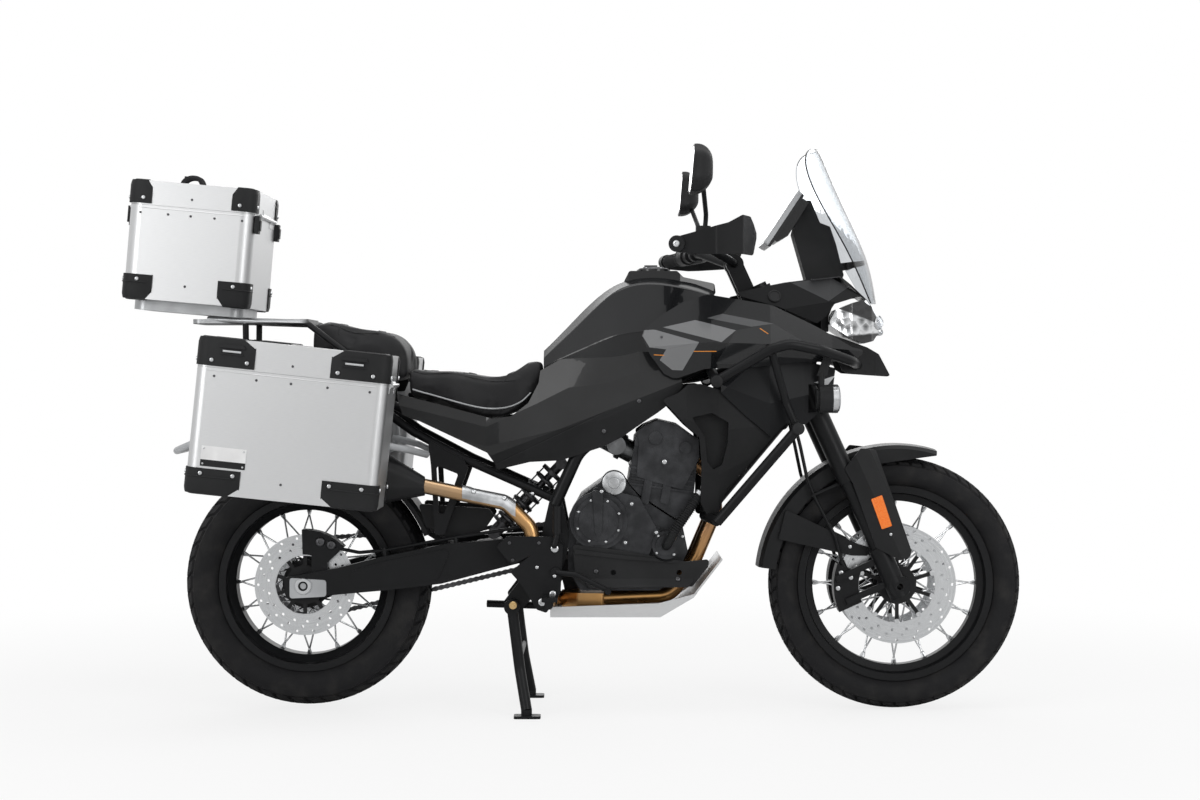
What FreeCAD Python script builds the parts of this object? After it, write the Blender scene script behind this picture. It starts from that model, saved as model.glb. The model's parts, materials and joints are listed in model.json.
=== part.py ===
import FreeCAD, Part

# Adventure touring motorcycle with three aluminium cases, standing on its centre stand.
# Millimetres. +X is forward, +Y the rider's left, +Z up. The origin lies on the floor, under the
# middle of the machine. Every size is a cell of the sheet "sizes"; a Size keeps its cell formula, so
# that the features built from it stay bound to the sheet.

import math
import os

import Sketcher
from FreeCAD import Placement, Rotation, Vector

doc = FreeCAD.newDocument("adventure_motorcycle")
sheet = doc.addObject("Spreadsheet::Sheet", "sizes")

# ---------------------------------------------------------------- driving dimensions

SIZES = (
    # alias, value, meaning
    ("front_axle_x", 820, "front axle ahead of the origin"),
    ("front_tyre_radius", 329, "19 inch front tyre, outside"),
    ("front_tyre_width", 110, "front tyre section"),
    ("front_rim_radius", 241.3, "front bead seat"),
    ("front_rim_width", 76, "front rim over its flanges"),
    ("pivot_x", -65, "swingarm pivot"),
    ("pivot_z", 432, "swingarm pivot above the floor"),
    ("swingarm_length", 654, "pivot to rear axle"),
    ("swingarm_droop", 8.89, "swingarm below level, degrees"),
    ("rear_tyre_radius", 321, "17 inch rear tyre, outside"),
    ("rear_tyre_width", 150, "rear tyre section"),
    ("rear_rim_radius", 215.9, "rear bead seat"),
    ("rear_rim_width", 118, "rear rim over its flanges"),
    ("tyre_wall", 9, "tyre carcass"),
    ("rim_depth", 27, "bead seat to the spoke well"),
    ("spoke_radius", 2.3, "spoke wire"),
    ("rake", 24.5, "steering axis off upright, degrees"),
    ("fork_offset", 32, "legs ahead of the steering axis"),
    ("axle_lead", 7.3, "front axle ahead of the leg axis"),
    ("leg_half_gap", 100, "leg axis from the middle"),
    ("outer_tube_radius", 27, "fork outer tube"),
    ("stanchion_radius", 21.5, "fork sliding tube"),
    ("foot_height", 112, "fork foot above the axle, along the leg"),
    ("outer_tube_start", 300, "lower end of the outer tube above the axle"),
    ("outer_tube_end", 848, "upper end of the outer tube above the axle"),
    ("lower_yoke_start", 612, "underside of the lower yoke, along the axis"),
    ("lower_yoke_depth", 40, "lower yoke thickness"),
    ("upper_yoke_start", 812, "underside of the upper yoke"),
    ("upper_yoke_depth", 26, "upper yoke thickness"),
    ("stem_radius", 16, "steering stem"),
    ("head_tube_radius", 30, "head tube, outside"),
    ("axle_radius", 12.5, "wheel axles"),
    ("axle_bore", 8, "bore through the hollow wheel axles"),
    ("running_fit", 0.05, "radial clearance of a turning fit"),
    ("seat_gap", 0.2, "clearance between pieces that are bolted together"),
    ("front_disc_radius", 153, "front brake discs"),
    ("front_disc_y", 64.5, "front disc middle plane"),
    ("rear_disc_radius", 130, "rear brake disc"),
    ("rear_disc_y", -92, "rear disc middle plane"),
    ("disc_thickness", 5, "brake discs"),
    ("disc_clearance", 5, "caliper slot each side of a disc"),
    ("bar_radius", 11, "handlebar tube"),
    ("bar_half_width", 430, "bar end from the middle"),
    ("crash_bar_radius", 13, "crash bar tube"),
    ("frame_tube_radius", 16, "main frame tube"),
    ("rail_radius", 11, "subframe tube"),
    ("rail_y", 105, "subframe tube from the middle"),
    ("pannier_inner_y", 252, "inner wall of a side case from the middle"),
    ("pannier_depth", 238, "side case, inner wall to outer wall"),
    ("pannier_length", 462, "side case along the machine"),
    ("pannier_height", 375, "side case with its lid"),
    ("pannier_lid", 72, "side case lid"),
    ("pannier_tilt", 6.0, "side case nose down, degrees"),
    ("case_wall", 2.5, "aluminium case wall"),
    ("lid_gap", 0.6, "between case and lid"),
    ("hinge_ahead", 5, "lid hinge pin ahead of the case front"),
    ("knuckle_radius", 4.6, "lid hinge knuckle"),
    ("hinge_pin_radius", 1.8, "lid hinge pin"),
    ("top_case_length", 318, "top case along the machine"),
    ("top_case_width", 390, "top case across"),
    ("top_case_height", 300, "top case with its lid"),
    ("top_case_lid", 62, "top case lid"),
    ("top_case_tilt", 5.0, "top case nose down, degrees"),
    ("stand_pivot_x", -175, "centre stand pivot"),
    ("stand_pivot_z", 280, "centre stand pivot above the floor"),
    ("stand_leg_y", 146, "centre stand leg from the middle"),
    ("stand_tube_radius", 14, "centre stand tube"),
    ("side_stand_length", 250, "side stand pivot to foot"),
    ("arm_inner_right", 101, "right swingarm blade from the middle, at the axle"),
    ("arm_inner_left", 112, "left swingarm blade from the middle, at the axle"),
    ("arm_thickness", 26, "swingarm blade"),
    ("footrest_plate_y", 174, "footrest plate from the middle"),
)


class Size:
    """A number together with the sheet formula that gives it."""

    def __init__(self, value, formula):
        self.value, self.formula = value, formula

    @staticmethod
    def text(other):
        return other.formula if isinstance(other, Size) else f"({float(other):.6f})"

    def joined(self, sign, other, value):
        return Size(value, f"({Size.text(self)} {sign} {Size.text(other)})")

    def __float__(self):
        return float(self.value)

    def __add__(self, other):
        return self.joined("+", other, float(self) + float(other))

    def __sub__(self, other):
        return self.joined("-", other, float(self) - float(other))

    def __mul__(self, other):
        return self.joined("*", other, float(self) * float(other))

    def __truediv__(self, other):
        return self.joined("/", other, float(self) / float(other))

    def __neg__(self):
        return self * -1

    def __radd__(self, other):
        return self + other

    def __rsub__(self, other):
        return -self + other

    def __rmul__(self, other):
        return self * other


class Sizes:
    """Reads a cell of the sheet by its alias."""

    def __getattr__(self, alias):
        return Size(float(sheet.get(alias)), f"sizes.{alias}")


for row, (alias, value, meaning) in enumerate(SIZES, 1):
    sheet.set(f"A{row}", meaning)
    sheet.set(f"B{row}", str(value))
    sheet.setAlias(f"B{row}", alias)
doc.recompute()
size = Sizes()
inner_pieces = set()


def sine(angle):
    return Size(math.sin(math.radians(float(angle))), f"sin({Size.text(angle)})")


def cosine(angle):
    return Size(math.cos(math.radians(float(angle))), f"cos({Size.text(angle)})")


# ---------------------------------------------------------------- places worked out from the sizes

front_axle_z = size.front_tyre_radius
rear_axle_x = size.pivot_x - size.swingarm_length * cosine(size.swingarm_droop)
rear_axle_z = size.pivot_z - size.swingarm_length * sine(size.swingarm_droop)
FRONT_AXLE = Vector(size.front_axle_x, 0, front_axle_z)
REAR_AXLE = Vector(rear_axle_x, 0, rear_axle_z)
PIVOT = Vector(size.pivot_x, 0, size.pivot_z)
STAND_PIVOT = Vector(size.stand_pivot_x, 0, size.stand_pivot_z)

# The steering frame: local Z runs up the steering axis, local X forward, the front axle at height 0.
axle_ahead = size.fork_offset + size.axle_lead
steer_x = size.front_axle_x - axle_ahead * cosine(size.rake)
steer_z = front_axle_z - axle_ahead * sine(size.rake)
STEERING = Placement(Vector(steer_x, 0, steer_z), Rotation(Vector(0, 1, 0), -float(size.rake)))
SIDES = (-1, 1)


def in_steering(point):
    """A point of the machine in the steering frame."""
    return STEERING.inverse().multVec(point)


# ---------------------------------------------------------------- helpers: shapes


def mirrored(shape):
    """The same piece on the other side of the machine."""
    return shape.mirror(Vector(0, 0, 0), Vector(0, 1, 0))


def both_sides(shape):
    return Part.makeCompound([shape, mirrored(shape)])


def fused(shapes):
    shape = shapes[0].multiFuse(shapes[1:]) if len(shapes) > 1 else shapes[0]
    return shape.removeSplitter()


def cut(shape, *tools):
    for tool in tools:
        shape = shape.cut(tool)
    return shape


def rounded_path(points, bend, closed=False):
    """Straight edges through the points, joined by tangent arcs of the bend radius."""
    points = [Vector(*point) for point in points]
    count = len(points)
    corners = range(count) if closed else range(1, count - 1)
    cuts = {}
    for index in corners:
        before, here, after = points[index - 1], points[index], points[(index + 1) % count]
        arrive, leave = (here - before).normalize(), (after - here).normalize()
        turn = arrive.getAngle(leave)
        if turn < 0.01 or bend <= 0:
            continue
        shorter = min((here - before).Length, (after - here).Length)
        reach = min(bend * math.tan(turn / 2), 0.48 * shorter)
        radius = reach / math.tan(turn / 2)
        inward = (leave - arrive).normalize()
        middle = here + inward * (radius / math.cos(turn / 2) - radius)
        cuts[index] = (here - arrive * reach, middle, here + leave * reach)
    edges = []
    for index in range(count if closed else count - 1):
        following = (index + 1) % count
        start = cuts[index][2] if index in cuts else points[index]
        end = cuts[following][0] if following in cuts else points[following]
        if (end - start).Length > 1e-4:
            edges.append(Part.LineSegment(start, end).toShape())
        if following in cuts:
            edges.append(Part.Arc(*cuts[following]).toShape())
    return Part.Wire(edges)


def tube(points, radius, bend=60.0, closed=False):
    """A round bar along straight runs joined by arcs."""
    path = rounded_path(points, bend, closed)
    start = path.Edges[0]
    direction = start.tangentAt(start.FirstParameter)
    section = Part.Wire([Part.makeCircle(radius, start.valueAt(start.FirstParameter), direction)])
    shape = path.makePipeShell([section], True, False)
    return Part.Solid(shape.Shells[0]) if shape.ShapeType != "Solid" else shape


def prism(points, low, high, corner=0.0):
    """A side outline of (x, z) points drawn across the machine from y = low to y = high."""
    low, high = float(low), float(high)
    outline = [(float(x), low, float(z)) for x, z in points]
    face = Part.Face(rounded_path(outline, corner, closed=True))
    return face.extrude(Vector(0, high - low, 0))


def slab(points, low, high, corner=0.0):
    """A plan outline of (x, y) points drawn upward from z = low to z = high."""
    low, high = float(low), float(high)
    outline = [(float(x), float(y), low) for x, y in points]
    face = Part.Face(rounded_path(outline, corner, closed=True))
    return face.extrude(Vector(0, 0, high - low))


def rod(start, end, radius):
    start, end = Vector(*start), Vector(*end)
    return Part.makeCylinder(float(radius), (end - start).Length, start, end - start)


def across(x, z, low, high, radius):
    """A round bar along Y."""
    return rod((float(x), float(low), float(z)), (float(x), float(high), float(z)), radius)


def loft(sections, ruled=False):
    """A solid through closed sections of equal corner count."""
    return Part.makeLoft(sections, True, ruled)


def hoop(x, low, high, half_low, half_high, corner):
    """A section across the machine at x: flat base, rounded top corners."""
    points = [(x, -half_low, low), (x, half_low, low), (x, half_high, high), (x, -half_high, high)]
    return rounded_path(points, corner, closed=True)


def skin(stations, thickness, ruled=False):
    """A curved panel: stations of (x, ((y, z), ...)) give its outer face, from front to rear."""
    sections = []
    for x, points in stations:
        outer = [Vector(x, y, z) for y, z in points]
        inner = [Vector(x, y - math.copysign(thickness, y), z) for y, z in reversed(points)]
        sections.append(Part.makePolygon(outer + inner + outer[:1]))
    return loft(sections, ruled)


# ---------------------------------------------------------------- helpers: document objects


def bind(thing, name, amount):
    """Gives a property its value, and its formula where it comes from the sheet."""
    if isinstance(amount, Size):
        thing.setExpression(name, amount.formula)
    else:
        setattr(thing, name, amount)


def place(thing, placement, x=None, z=None, angle=None):
    """Puts a sub-part in its place and ties the place to the sheet."""
    thing.Placement = placement
    for name, amount in (("Base.x", x), ("Base.z", z), ("Rotation.Angle", angle)):
        if isinstance(amount, Size):
            thing.setExpression(f"Placement.{name}", amount.formula)


def in_front_wheel(thing):
    place(thing, Placement(FRONT_AXLE, Rotation()), size.front_axle_x, front_axle_z)


def in_rear_wheel(thing):
    place(thing, Placement(REAR_AXLE, Rotation()), rear_axle_x, rear_axle_z)


def on_steering(thing):
    place(thing, STEERING, steer_x, steer_z, -size.rake)


def part(name, shape, placement=None):
    """A sub-part whose shape comes from Part's own functions."""
    feature = doc.addObject("Part::Feature", name)
    feature.Label = name
    feature.Shape = shape
    if placement is not None:
        feature.Placement = placement
    return feature


def body(name):
    made = doc.addObject("PartDesign::Body", name)
    made.Label = name
    return made


def joined(name, kind, pieces):
    """A sub-part made of other document objects: Part::MultiFuse welds them, Part::Compound groups them."""
    made = doc.addObject(kind, name)
    made.Label = name
    if kind == "Part::Compound":
        made.Links = pieces
    else:
        made.Shapes = pieces
    inner_pieces.update(piece.Name for piece in pieces)
    return made


def sketch(owner, name, plane, outline, offset=None):
    """A closed outline of (u, v) corners on an origin plane; (u, v, "through") is the middle of an arc."""
    drawn = owner.newObject("Sketcher::SketchObject", name)
    support = next(item for item in owner.Origin.OriginFeatures if item.Role == plane)
    drawn.AttachmentSupport = (support, "")
    drawn.MapMode = "FlatFace"
    if offset is not None:
        drawn.AttachmentOffset = Placement(Vector(0, 0, float(offset)), Rotation())
        if isinstance(offset, Size):
            drawn.setExpression("AttachmentOffset.Base.z", offset.formula)
    add_outline(drawn, outline)
    return drawn


def pin_point(drawn, geometry, end, u, v):
    for kind, amount in (("DistanceX", u), ("DistanceY", v)):
        index = drawn.addConstraint(Sketcher.Constraint(kind, -1, 1, geometry, end, float(amount)))
        if isinstance(amount, Size):
            drawn.setExpression(f"Constraints[{index}]", amount.formula)


def add_outline(drawn, outline):
    corners = [item for item in outline if len(item) == 2]
    starts, ends, after_corner = [], [], -1
    through = {}
    for item in outline:
        if len(item) == 2:
            after_corner += 1
        else:
            through[after_corner] = item
    for index, (u, v) in enumerate(corners):
        here = Vector(u, v, 0)
        there = Vector(*corners[(index + 1) % len(corners)], 0)
        if index in through:
            middle = Vector(*through[index][:2], 0)
            turns_left = (middle - here).cross(there - middle).z > 0
            ordered = (here, middle, there) if turns_left else (there, middle, here)
            geometry = drawn.addGeometry(Part.Arc(*ordered))
            starts.append((geometry, 1 if turns_left else 2))
            ends.append((geometry, 2 if turns_left else 1))
            mark = drawn.addGeometry(Part.Point(middle), True)
            drawn.addConstraint(Sketcher.Constraint("PointOnObject", mark, 1, geometry))
            pin_point(drawn, mark, 1, *through[index][:2])
        else:
            geometry = drawn.addGeometry(Part.LineSegment(here, there))
            starts.append((geometry, 1))
            ends.append((geometry, 2))
    for index, corner in enumerate(corners):
        following = (index + 1) % len(corners)
        drawn.addConstraint(Sketcher.Constraint("Coincident", *ends[index], *starts[following]))
        pin_point(drawn, *starts[index], *corner)


def add_circle(drawn, u, v, radius):
    circle = Part.Circle(Vector(u, v, 0), Vector(0, 0, 1), float(radius))
    geometry = drawn.addGeometry(circle)
    pin_point(drawn, geometry, 3, u, v)
    index = drawn.addConstraint(Sketcher.Constraint("Radius", geometry, float(radius)))
    if isinstance(radius, Size):
        drawn.setExpression(f"Constraints[{index}]", radius.formula)


def pad(owner, drawn, length, both_ways=False, reverse=False):
    made = owner.newObject("PartDesign::Pad", "Pad")
    made.Profile = drawn
    bind(made, "Length", length)
    made.Midplane = both_ways
    made.Reversed = reverse
    drawn.Visibility = False
    return made


def pocket(owner, drawn, length=None, both_ways=False, reverse=False):
    made = owner.newObject("PartDesign::Pocket", "Pocket")
    made.Profile = drawn
    if length is None:
        made.Type = 1
    else:
        bind(made, "Length", length)
    made.Midplane = both_ways
    made.Reversed = reverse
    return made


def turned(owner, drawn, angle=360.0):
    """Turns a profile about the sketch's own upright axis."""
    made = owner.newObject("PartDesign::Revolution", "Revolution")
    made.Profile = drawn
    made.ReferenceAxis = (drawn, ["V_Axis"])
    made.Angle = angle
    return made


def repeated(owner, feature, drawn, count):
    """Repeats a feature round the sketch's upright axis."""
    made = owner.newObject("PartDesign::PolarPattern", "PolarPattern")
    made.Originals = [feature]
    made.Axis = drawn
    made.Angle = 360.0
    made.Occurrences = count
    owner.Tip = made
    return made


# ---------------------------------------------------------------- wheels


def make_tyre(name, radius, width, rim_radius, rim_width):
    """A hollow carcass: beads between the rim flanges, bulging sides, round crown."""
    owner = body(name)
    bead = rim_width / 2 - 5
    flange = rim_radius + 14
    side_radius = (radius + flange) / 2 - 4
    shoulder = radius - width * 0.13
    half = width / 2
    wall = size.tyre_wall
    profile = [
        (rim_radius + size.seat_gap, -bead), (flange, -bead), (flange + 3, -rim_width / 2),
        (side_radius, -half, "through"), (shoulder, -half * 0.8),
        (radius, 0, "through"), (shoulder, half * 0.8),
        (side_radius, half, "through"), (flange + 3, rim_width / 2),
        (flange, bead), (rim_radius + size.seat_gap, bead), (rim_radius + size.seat_gap, bead - wall),
        (flange, bead - wall), (side_radius, half - wall, "through"),
        (shoulder - wall, half * 0.75 - wall * 0.5),
        (radius - wall, 0, "through"), (shoulder - wall, -half * 0.75 + wall * 0.5),
        (side_radius, -half + wall, "through"), (flange, -bead + wall),
        (rim_radius + size.seat_gap, -bead + wall),
    ]
    turned(owner, sketch(owner, f"{name}_section", "XY_Plane", profile))
    return owner


def make_rim(name, rim_radius, rim_width):
    """A rolled rim: flanges, bead seats and a drop well that takes the nipples."""
    owner = body(name)
    half = rim_width / 2
    well = rim_radius - size.rim_depth
    profile = [
        (rim_radius + 13, -half), (rim_radius + 13, -half + 4.5), (rim_radius, -half + 4.5),
        (rim_radius - 3, -half + 20), (well + 6, -half * 0.35), (well + 6, half * 0.35),
        (rim_radius - 3, half - 20), (rim_radius, half - 4.5), (rim_radius + 13, half - 4.5),
        (rim_radius + 13, half), (rim_radius - 5, half - 0.5), (rim_radius - 9, half - 20),
        (well, half * 0.4), (well, -half * 0.4), (rim_radius - 9, -half + 20),
        (rim_radius - 5, -half + 0.5),
    ]
    turned(owner, sketch(owner, f"{name}_section", "XY_Plane", profile))
    return owner


def make_spoked_hub(name, centre, hub_half, flange_y, flange_radius, rim_radius, pairs, extra=()):
    """A turned hub with crossed spokes that end just under the rim well."""
    reach = float(rim_radius - size.rim_depth - size.seat_gap) - 0.1
    hub_half, flange_y, flange_radius = float(hub_half), float(flange_y), float(flange_radius)
    shapes = [across(0, 0, -hub_half, hub_half, flange_radius - 14)]
    step = 2 * math.pi / pairs
    for side in SIDES:
        shapes.append(across(0, 0, side * flange_y - 4, side * flange_y + 4, flange_radius))
        for index in range(pairs):
            for lean in SIDES:
                root = index * step + (side + 1) * step / 4
                tip = root + lean * math.radians(46)
                start = Vector(math.cos(root), 0, math.sin(root)) * (flange_radius - 6)
                start.y = side * flange_y + lean * 2.2
                end = Vector(math.cos(tip), 0, math.sin(tip)) * reach
                end.y = side * 6.0
                shapes.append(rod(start, end, size.spoke_radius))
    hub = fused(shapes).common(across(0, 0, -200, 200, reach))
    hub = fused([hub] + list(extra)) if extra else hub
    hub = hub.cut(across(0, 0, -300, 300, size.axle_radius + size.running_fit))
    return part(name, hub, Placement(centre, Rotation()))


DISC_ARMS = 10
ARM_SHARE = math.tan(math.pi / DISC_ARMS)


def make_disc(name, disc_radius, middle, bore, drillings):
    """A drilled rotor on a carrier with ten arms, both in one plane."""
    owner = body(name)
    half = size.disc_thickness / 2
    drawn = sketch(owner, f"{name}_section", "XY_Plane", [
        (bore, middle - half), (disc_radius, middle - half), (disc_radius, middle + half),
        (bore, middle + half),
    ])
    turned(owner, drawn)
    outer, inner = disc_radius - 58, bore + 20
    outer_half, inner_half = outer * ARM_SHARE - 5, inner * ARM_SHARE - 5
    window = sketch(owner, f"{name}_window", "XZ_Plane", [
        (inner, -inner_half), (outer, -outer_half), (outer + 4, 0, "through"), (outer, outer_half),
        (inner, inner_half),
    ])
    repeated(owner, pocket(owner, window, 400.0, both_ways=True), (drawn, ["V_Axis"]), DISC_ARMS)
    holes = sketch(owner, f"{name}_holes", "XZ_Plane", [])
    for row, inset in enumerate((9, 22, 35)):
        turn = row * 2 * math.pi / drillings / 3
        add_circle(holes, (disc_radius - inset) * math.cos(turn), (disc_radius - inset) * math.sin(turn), 3.6)
    repeated(owner, pocket(owner, holes, 400.0, both_ways=True), (drawn, ["V_Axis"]), drillings)
    return owner


for wheel_place, tyre_name, rim_name, radius, width, rim_radius, rim_width in (
    (in_front_wheel, "front_tyre", "front_rim", size.front_tyre_radius, size.front_tyre_width,
     size.front_rim_radius, size.front_rim_width),
    (in_rear_wheel, "rear_tyre", "rear_rim", size.rear_tyre_radius, size.rear_tyre_width,
     size.rear_rim_radius, size.rear_rim_width),
):
    wheel_place(make_tyre(tyre_name, radius, width, rim_radius, rim_width))
    wheel_place(make_rim(rim_name, rim_radius, rim_width))

HUB_BORE = 30
disc_seat = size.front_disc_y - size.disc_thickness / 2 - size.seat_gap
hub_end = size.leg_half_gap - size.outer_tube_radius - 4
front_hub = make_spoked_hub("front_hub", FRONT_AXLE, disc_seat, 44, 46, size.front_rim_radius, 8,
                            [across(0, 0, -hub_end, hub_end, HUB_BORE - 0.5)])
front_discs = []
for side, name in ((-1, "right_front_disc"), (1, "left_front_disc")):
    disc = make_disc(name, size.front_disc_radius, size.front_disc_y * side, HUB_BORE, 20)
    in_front_wheel(disc)
    front_discs.append(disc)
joined("front_discs", "Part::Compound", front_discs)

SPROCKET_RADIUS, SPROCKET_Y = 97, 100
sprocket = across(0, 0, SPROCKET_Y - 4, SPROCKET_Y + 4, SPROCKET_RADIUS)
sprocket = cut(sprocket, *[
    across(66 * math.cos(turn), 66 * math.sin(turn), 90, 110, 17)
    for turn in (index * math.pi / 3 for index in range(6))
])
rear_hub = make_spoked_hub("rear_hub", REAR_AXLE, 86, 62, 62, size.rear_rim_radius, 8,
                           [sprocket, across(0, 0, 60, SPROCKET_Y + 5, 42),
                            across(0, 0, -97, -60, HUB_BORE - 0.5)])
in_rear_wheel(make_disc("rear_disc", size.rear_disc_radius, size.rear_disc_y, HUB_BORE, 18))


# ---------------------------------------------------------------- fork and steering

LEG_X = float(size.fork_offset)
LEG_Y = float(size.leg_half_gap)
AXLE_X = float(axle_ahead)


def make_yoke(owner_name, start, depth):
    """A fork yoke: a plate seen from above with its three eyes."""
    owner = body(owner_name)
    eye = size.outer_tube_radius + 13
    side = [
        (-size.stem_radius - 14, 26), (size.fork_offset - 34, size.leg_half_gap + 18),
        (size.fork_offset - 14, size.leg_half_gap + eye), (size.fork_offset + 14, size.leg_half_gap + eye),
        (size.fork_offset + eye, size.leg_half_gap + 16), (size.fork_offset + eye, size.leg_half_gap - 18),
        (size.fork_offset + 16, 34),
    ]
    outline = side + [(x, -y) for x, y in reversed(side)]
    pad(owner, sketch(owner, f"{owner_name}_plan", "XY_Plane", outline, start), depth)
    eyes = sketch(owner, f"{owner_name}_eyes", "XY_Plane", [], start)
    for lateral in SIDES:
        add_circle(eyes, size.fork_offset, lateral * size.leg_half_gap, size.outer_tube_radius
                   + size.running_fit)
    pocket(owner, eyes, depth * 3, both_ways=True)
    on_steering(owner)
    return owner


yokes = [make_yoke("lower_yoke", size.lower_yoke_start, size.lower_yoke_depth),
         make_yoke("upper_yoke", size.upper_yoke_start, size.upper_yoke_depth)]

lower_yoke_top = float(size.lower_yoke_start + size.lower_yoke_depth)
upper_yoke_top = float(size.upper_yoke_start + size.upper_yoke_depth)
stem = doc.addObject("Part::Cylinder", "steering_stem")
bind(stem, "Radius", size.stem_radius)
bind(stem, "Height", size.upper_yoke_start - size.lower_yoke_start)
stem.Placement = STEERING.multiply(Placement(Vector(0, 0, size.lower_yoke_start), Rotation()))
joined("triple_clamp", "Part::MultiFuse", yokes + [stem])


def make_fork_leg(side):
    """One leg: cast foot with caliper lugs, sliding tube, outer tube and top cap."""
    y = side * LEG_Y
    foot = rod((LEG_X, y, -26), (LEG_X, y, size.foot_height), size.outer_tube_radius)
    boss = across(AXLE_X, 0, min(side * (LEG_Y - 25), side * (LEG_Y + 25)),
                  max(side * (LEG_Y - 25), side * (LEG_Y + 25)), 27)
    slider = rod((LEG_X, y, size.foot_height), (LEG_X, y, size.outer_tube_start), size.stanchion_radius)
    outer = rod((LEG_X, y, size.outer_tube_start), (LEG_X, y, size.outer_tube_end), size.outer_tube_radius)
    cap = rod((LEG_X, y, size.outer_tube_end), (LEG_X, y, size.outer_tube_end + 9), 19)
    return [foot, boss, slider, outer, cap]


axle_half = LEG_Y + 27
axle = across(AXLE_X, 0, -axle_half, axle_half, size.axle_radius)
legs = fused(make_fork_leg(-1) + make_fork_leg(1) + [axle])
legs = legs.cut(across(AXLE_X, 0, -axle_half - 5, axle_half + 5, size.axle_bore))

caliper_outer_y = float(size.front_disc_y) + 30
lugs = [
    slab([(AXLE_X - 140, side * caliper_outer_y), (LEG_X, side * caliper_outer_y),
          (LEG_X, side * (caliper_outer_y + 12)), (AXLE_X - 140, side * (caliper_outer_y + 12))][::side],
         low, low + 16)
    for side in SIDES for low in (10, 74)
]
legs = fused([legs] + lugs)
part("fork_legs", legs, STEERING)


def make_caliper(centre_x, disc_radius, disc_y, angle, spread, side, inner_reach, outer_reach):
    """A caliper: a sector block astride the disc rim, centred on an angle about the axle."""
    low, high = float(disc_y) - inner_reach, float(disc_y) + outer_reach
    if side < 0:
        low, high = float(disc_y) - outer_reach, float(disc_y) + inner_reach
    outer = float(disc_radius) + 14
    block = across(0, 0, low, high, outer).cut(across(0, 0, low - 1, high + 1, float(disc_radius) - 50))
    wedge = 400.0
    first, last = (math.radians(angle + sign * spread) for sign in (-1, 1))
    sector = prism([(0, 0), (wedge * math.cos(first), wedge * math.sin(first)),
                    (wedge * math.cos(last), wedge * math.sin(last))], low - 2, high + 2)
    block = block.common(sector)
    slot_half = float(size.disc_thickness / 2 + size.disc_clearance)
    slot = across(0, 0, float(disc_y) - slot_half, float(disc_y) + slot_half, float(disc_radius) + 6)
    block = block.cut(slot)
    block.translate(Vector(centre_x, 0, 0))
    return block


front_calipers = [
    make_caliper(AXLE_X, size.front_disc_radius, side * size.front_disc_y, 158, 22, side, 20, 29.8)
    for side in SIDES
]

# The front brake hoses, in the steering frame: from under the lower yoke down behind each leg.
FRONT_HOSE = ((-20, 62, 611.8), (-23, 66, 570), (-29, 76, 500), (-42, 82, 430), (-60, 84, 350),
              (-62, 84, 290),
              (-56, 84, 180), (-68, 84, 112))
HOSE_RADIUS = 4.5


def make_front_hose(side):
    """One hose with its banjo on the caliper and its union under the yoke."""
    route = [(x, side * y, min(z, float(size.lower_yoke_start) - 0.2)) for x, y, z in FRONT_HOSE]
    top, foot = Vector(*route[0]), Vector(*route[-1])
    union = rod(top, top - Vector(0, 0, 16), 9)
    banjo = rod(foot - Vector(0, 0, 30), foot + Vector(0, 0, 6), 8)
    clip = slab([(-68, side * 76), (16, side * 76), (16, side * 92), (-68, side * 92)], 300, 306)
    return [tube(route, HOSE_RADIUS, 50), union, banjo, clip]


braked = [fused([caliper] + make_front_hose(side)).cut(legs) for side, caliper in zip(SIDES, front_calipers)]
part("front_calipers", Part.makeCompound(braked), STEERING)

# Guards over the sliding tubes: a curved shield, cut to its side outline along the leg.
GUARD_OUTLINE = ((6, 292), (2, 335), (62, 366), (98, 345), (72, 72), (60, 60), (34, 62), (-8, 118))


def make_fork_guard():
    inner = LEG_Y + float(size.outer_tube_radius) + 0.3
    plan = [
        (-40, inner), (40, inner), (78, inner - 6), (104, inner - 34), (107, inner - 31),
        (82, inner - 2), (42, inner + 4), (-40, inner + 4),
    ]
    shield = slab([(LEG_X + x, y) for x, y in plan], 40, 380)
    outline = prism([(LEG_X + x, z) for x, z in GUARD_OUTLINE], 0, 200, 8)
    return shield.common(outline)


part("fork_guards", both_sides(make_fork_guard()), STEERING)

# Front mudguard: a U section turned about the axle, with two stays down to the fork feet.
FENDER_GAP, FENDER_SHEET = 32, 4.5
FENDER_START, FENDER_END = 73.0, 173.0


def turned_guard(radius, half_width, skirt, sheet, first, last, taper=0.0):
    """A mudguard shell about the Y axis through the origin, between two angles from +X towards +Z."""
    outer, inner = radius, radius - sheet
    points = [
        (inner - skirt, -half_width), (outer - 9, -half_width), (outer, -half_width + 14),
        (outer + taper, 0), (outer, half_width - 14), (outer - 9, half_width), (inner - skirt, half_width),
        (inner - skirt, half_width - sheet), (inner - 7, half_width - sheet),
        (inner, half_width - sheet - 13),
        (inner + taper, 0), (inner, -half_width + sheet + 13), (inner - 7, -half_width + sheet),
        (inner - skirt, -half_width + sheet),
    ]
    face = Part.Face(Part.makePolygon([Vector(r, y, 0) for r, y in points + points[:1]]))
    shell = face.revolve(Vector(0, 0, 0), Vector(0, 1, 0), -(last - first))
    shell.rotate(Vector(0, 0, 0), Vector(0, 1, 0), -first)
    return shell


def around_axle(radius, angle):
    return radius * math.cos(math.radians(angle)), radius * math.sin(math.radians(angle))


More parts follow.
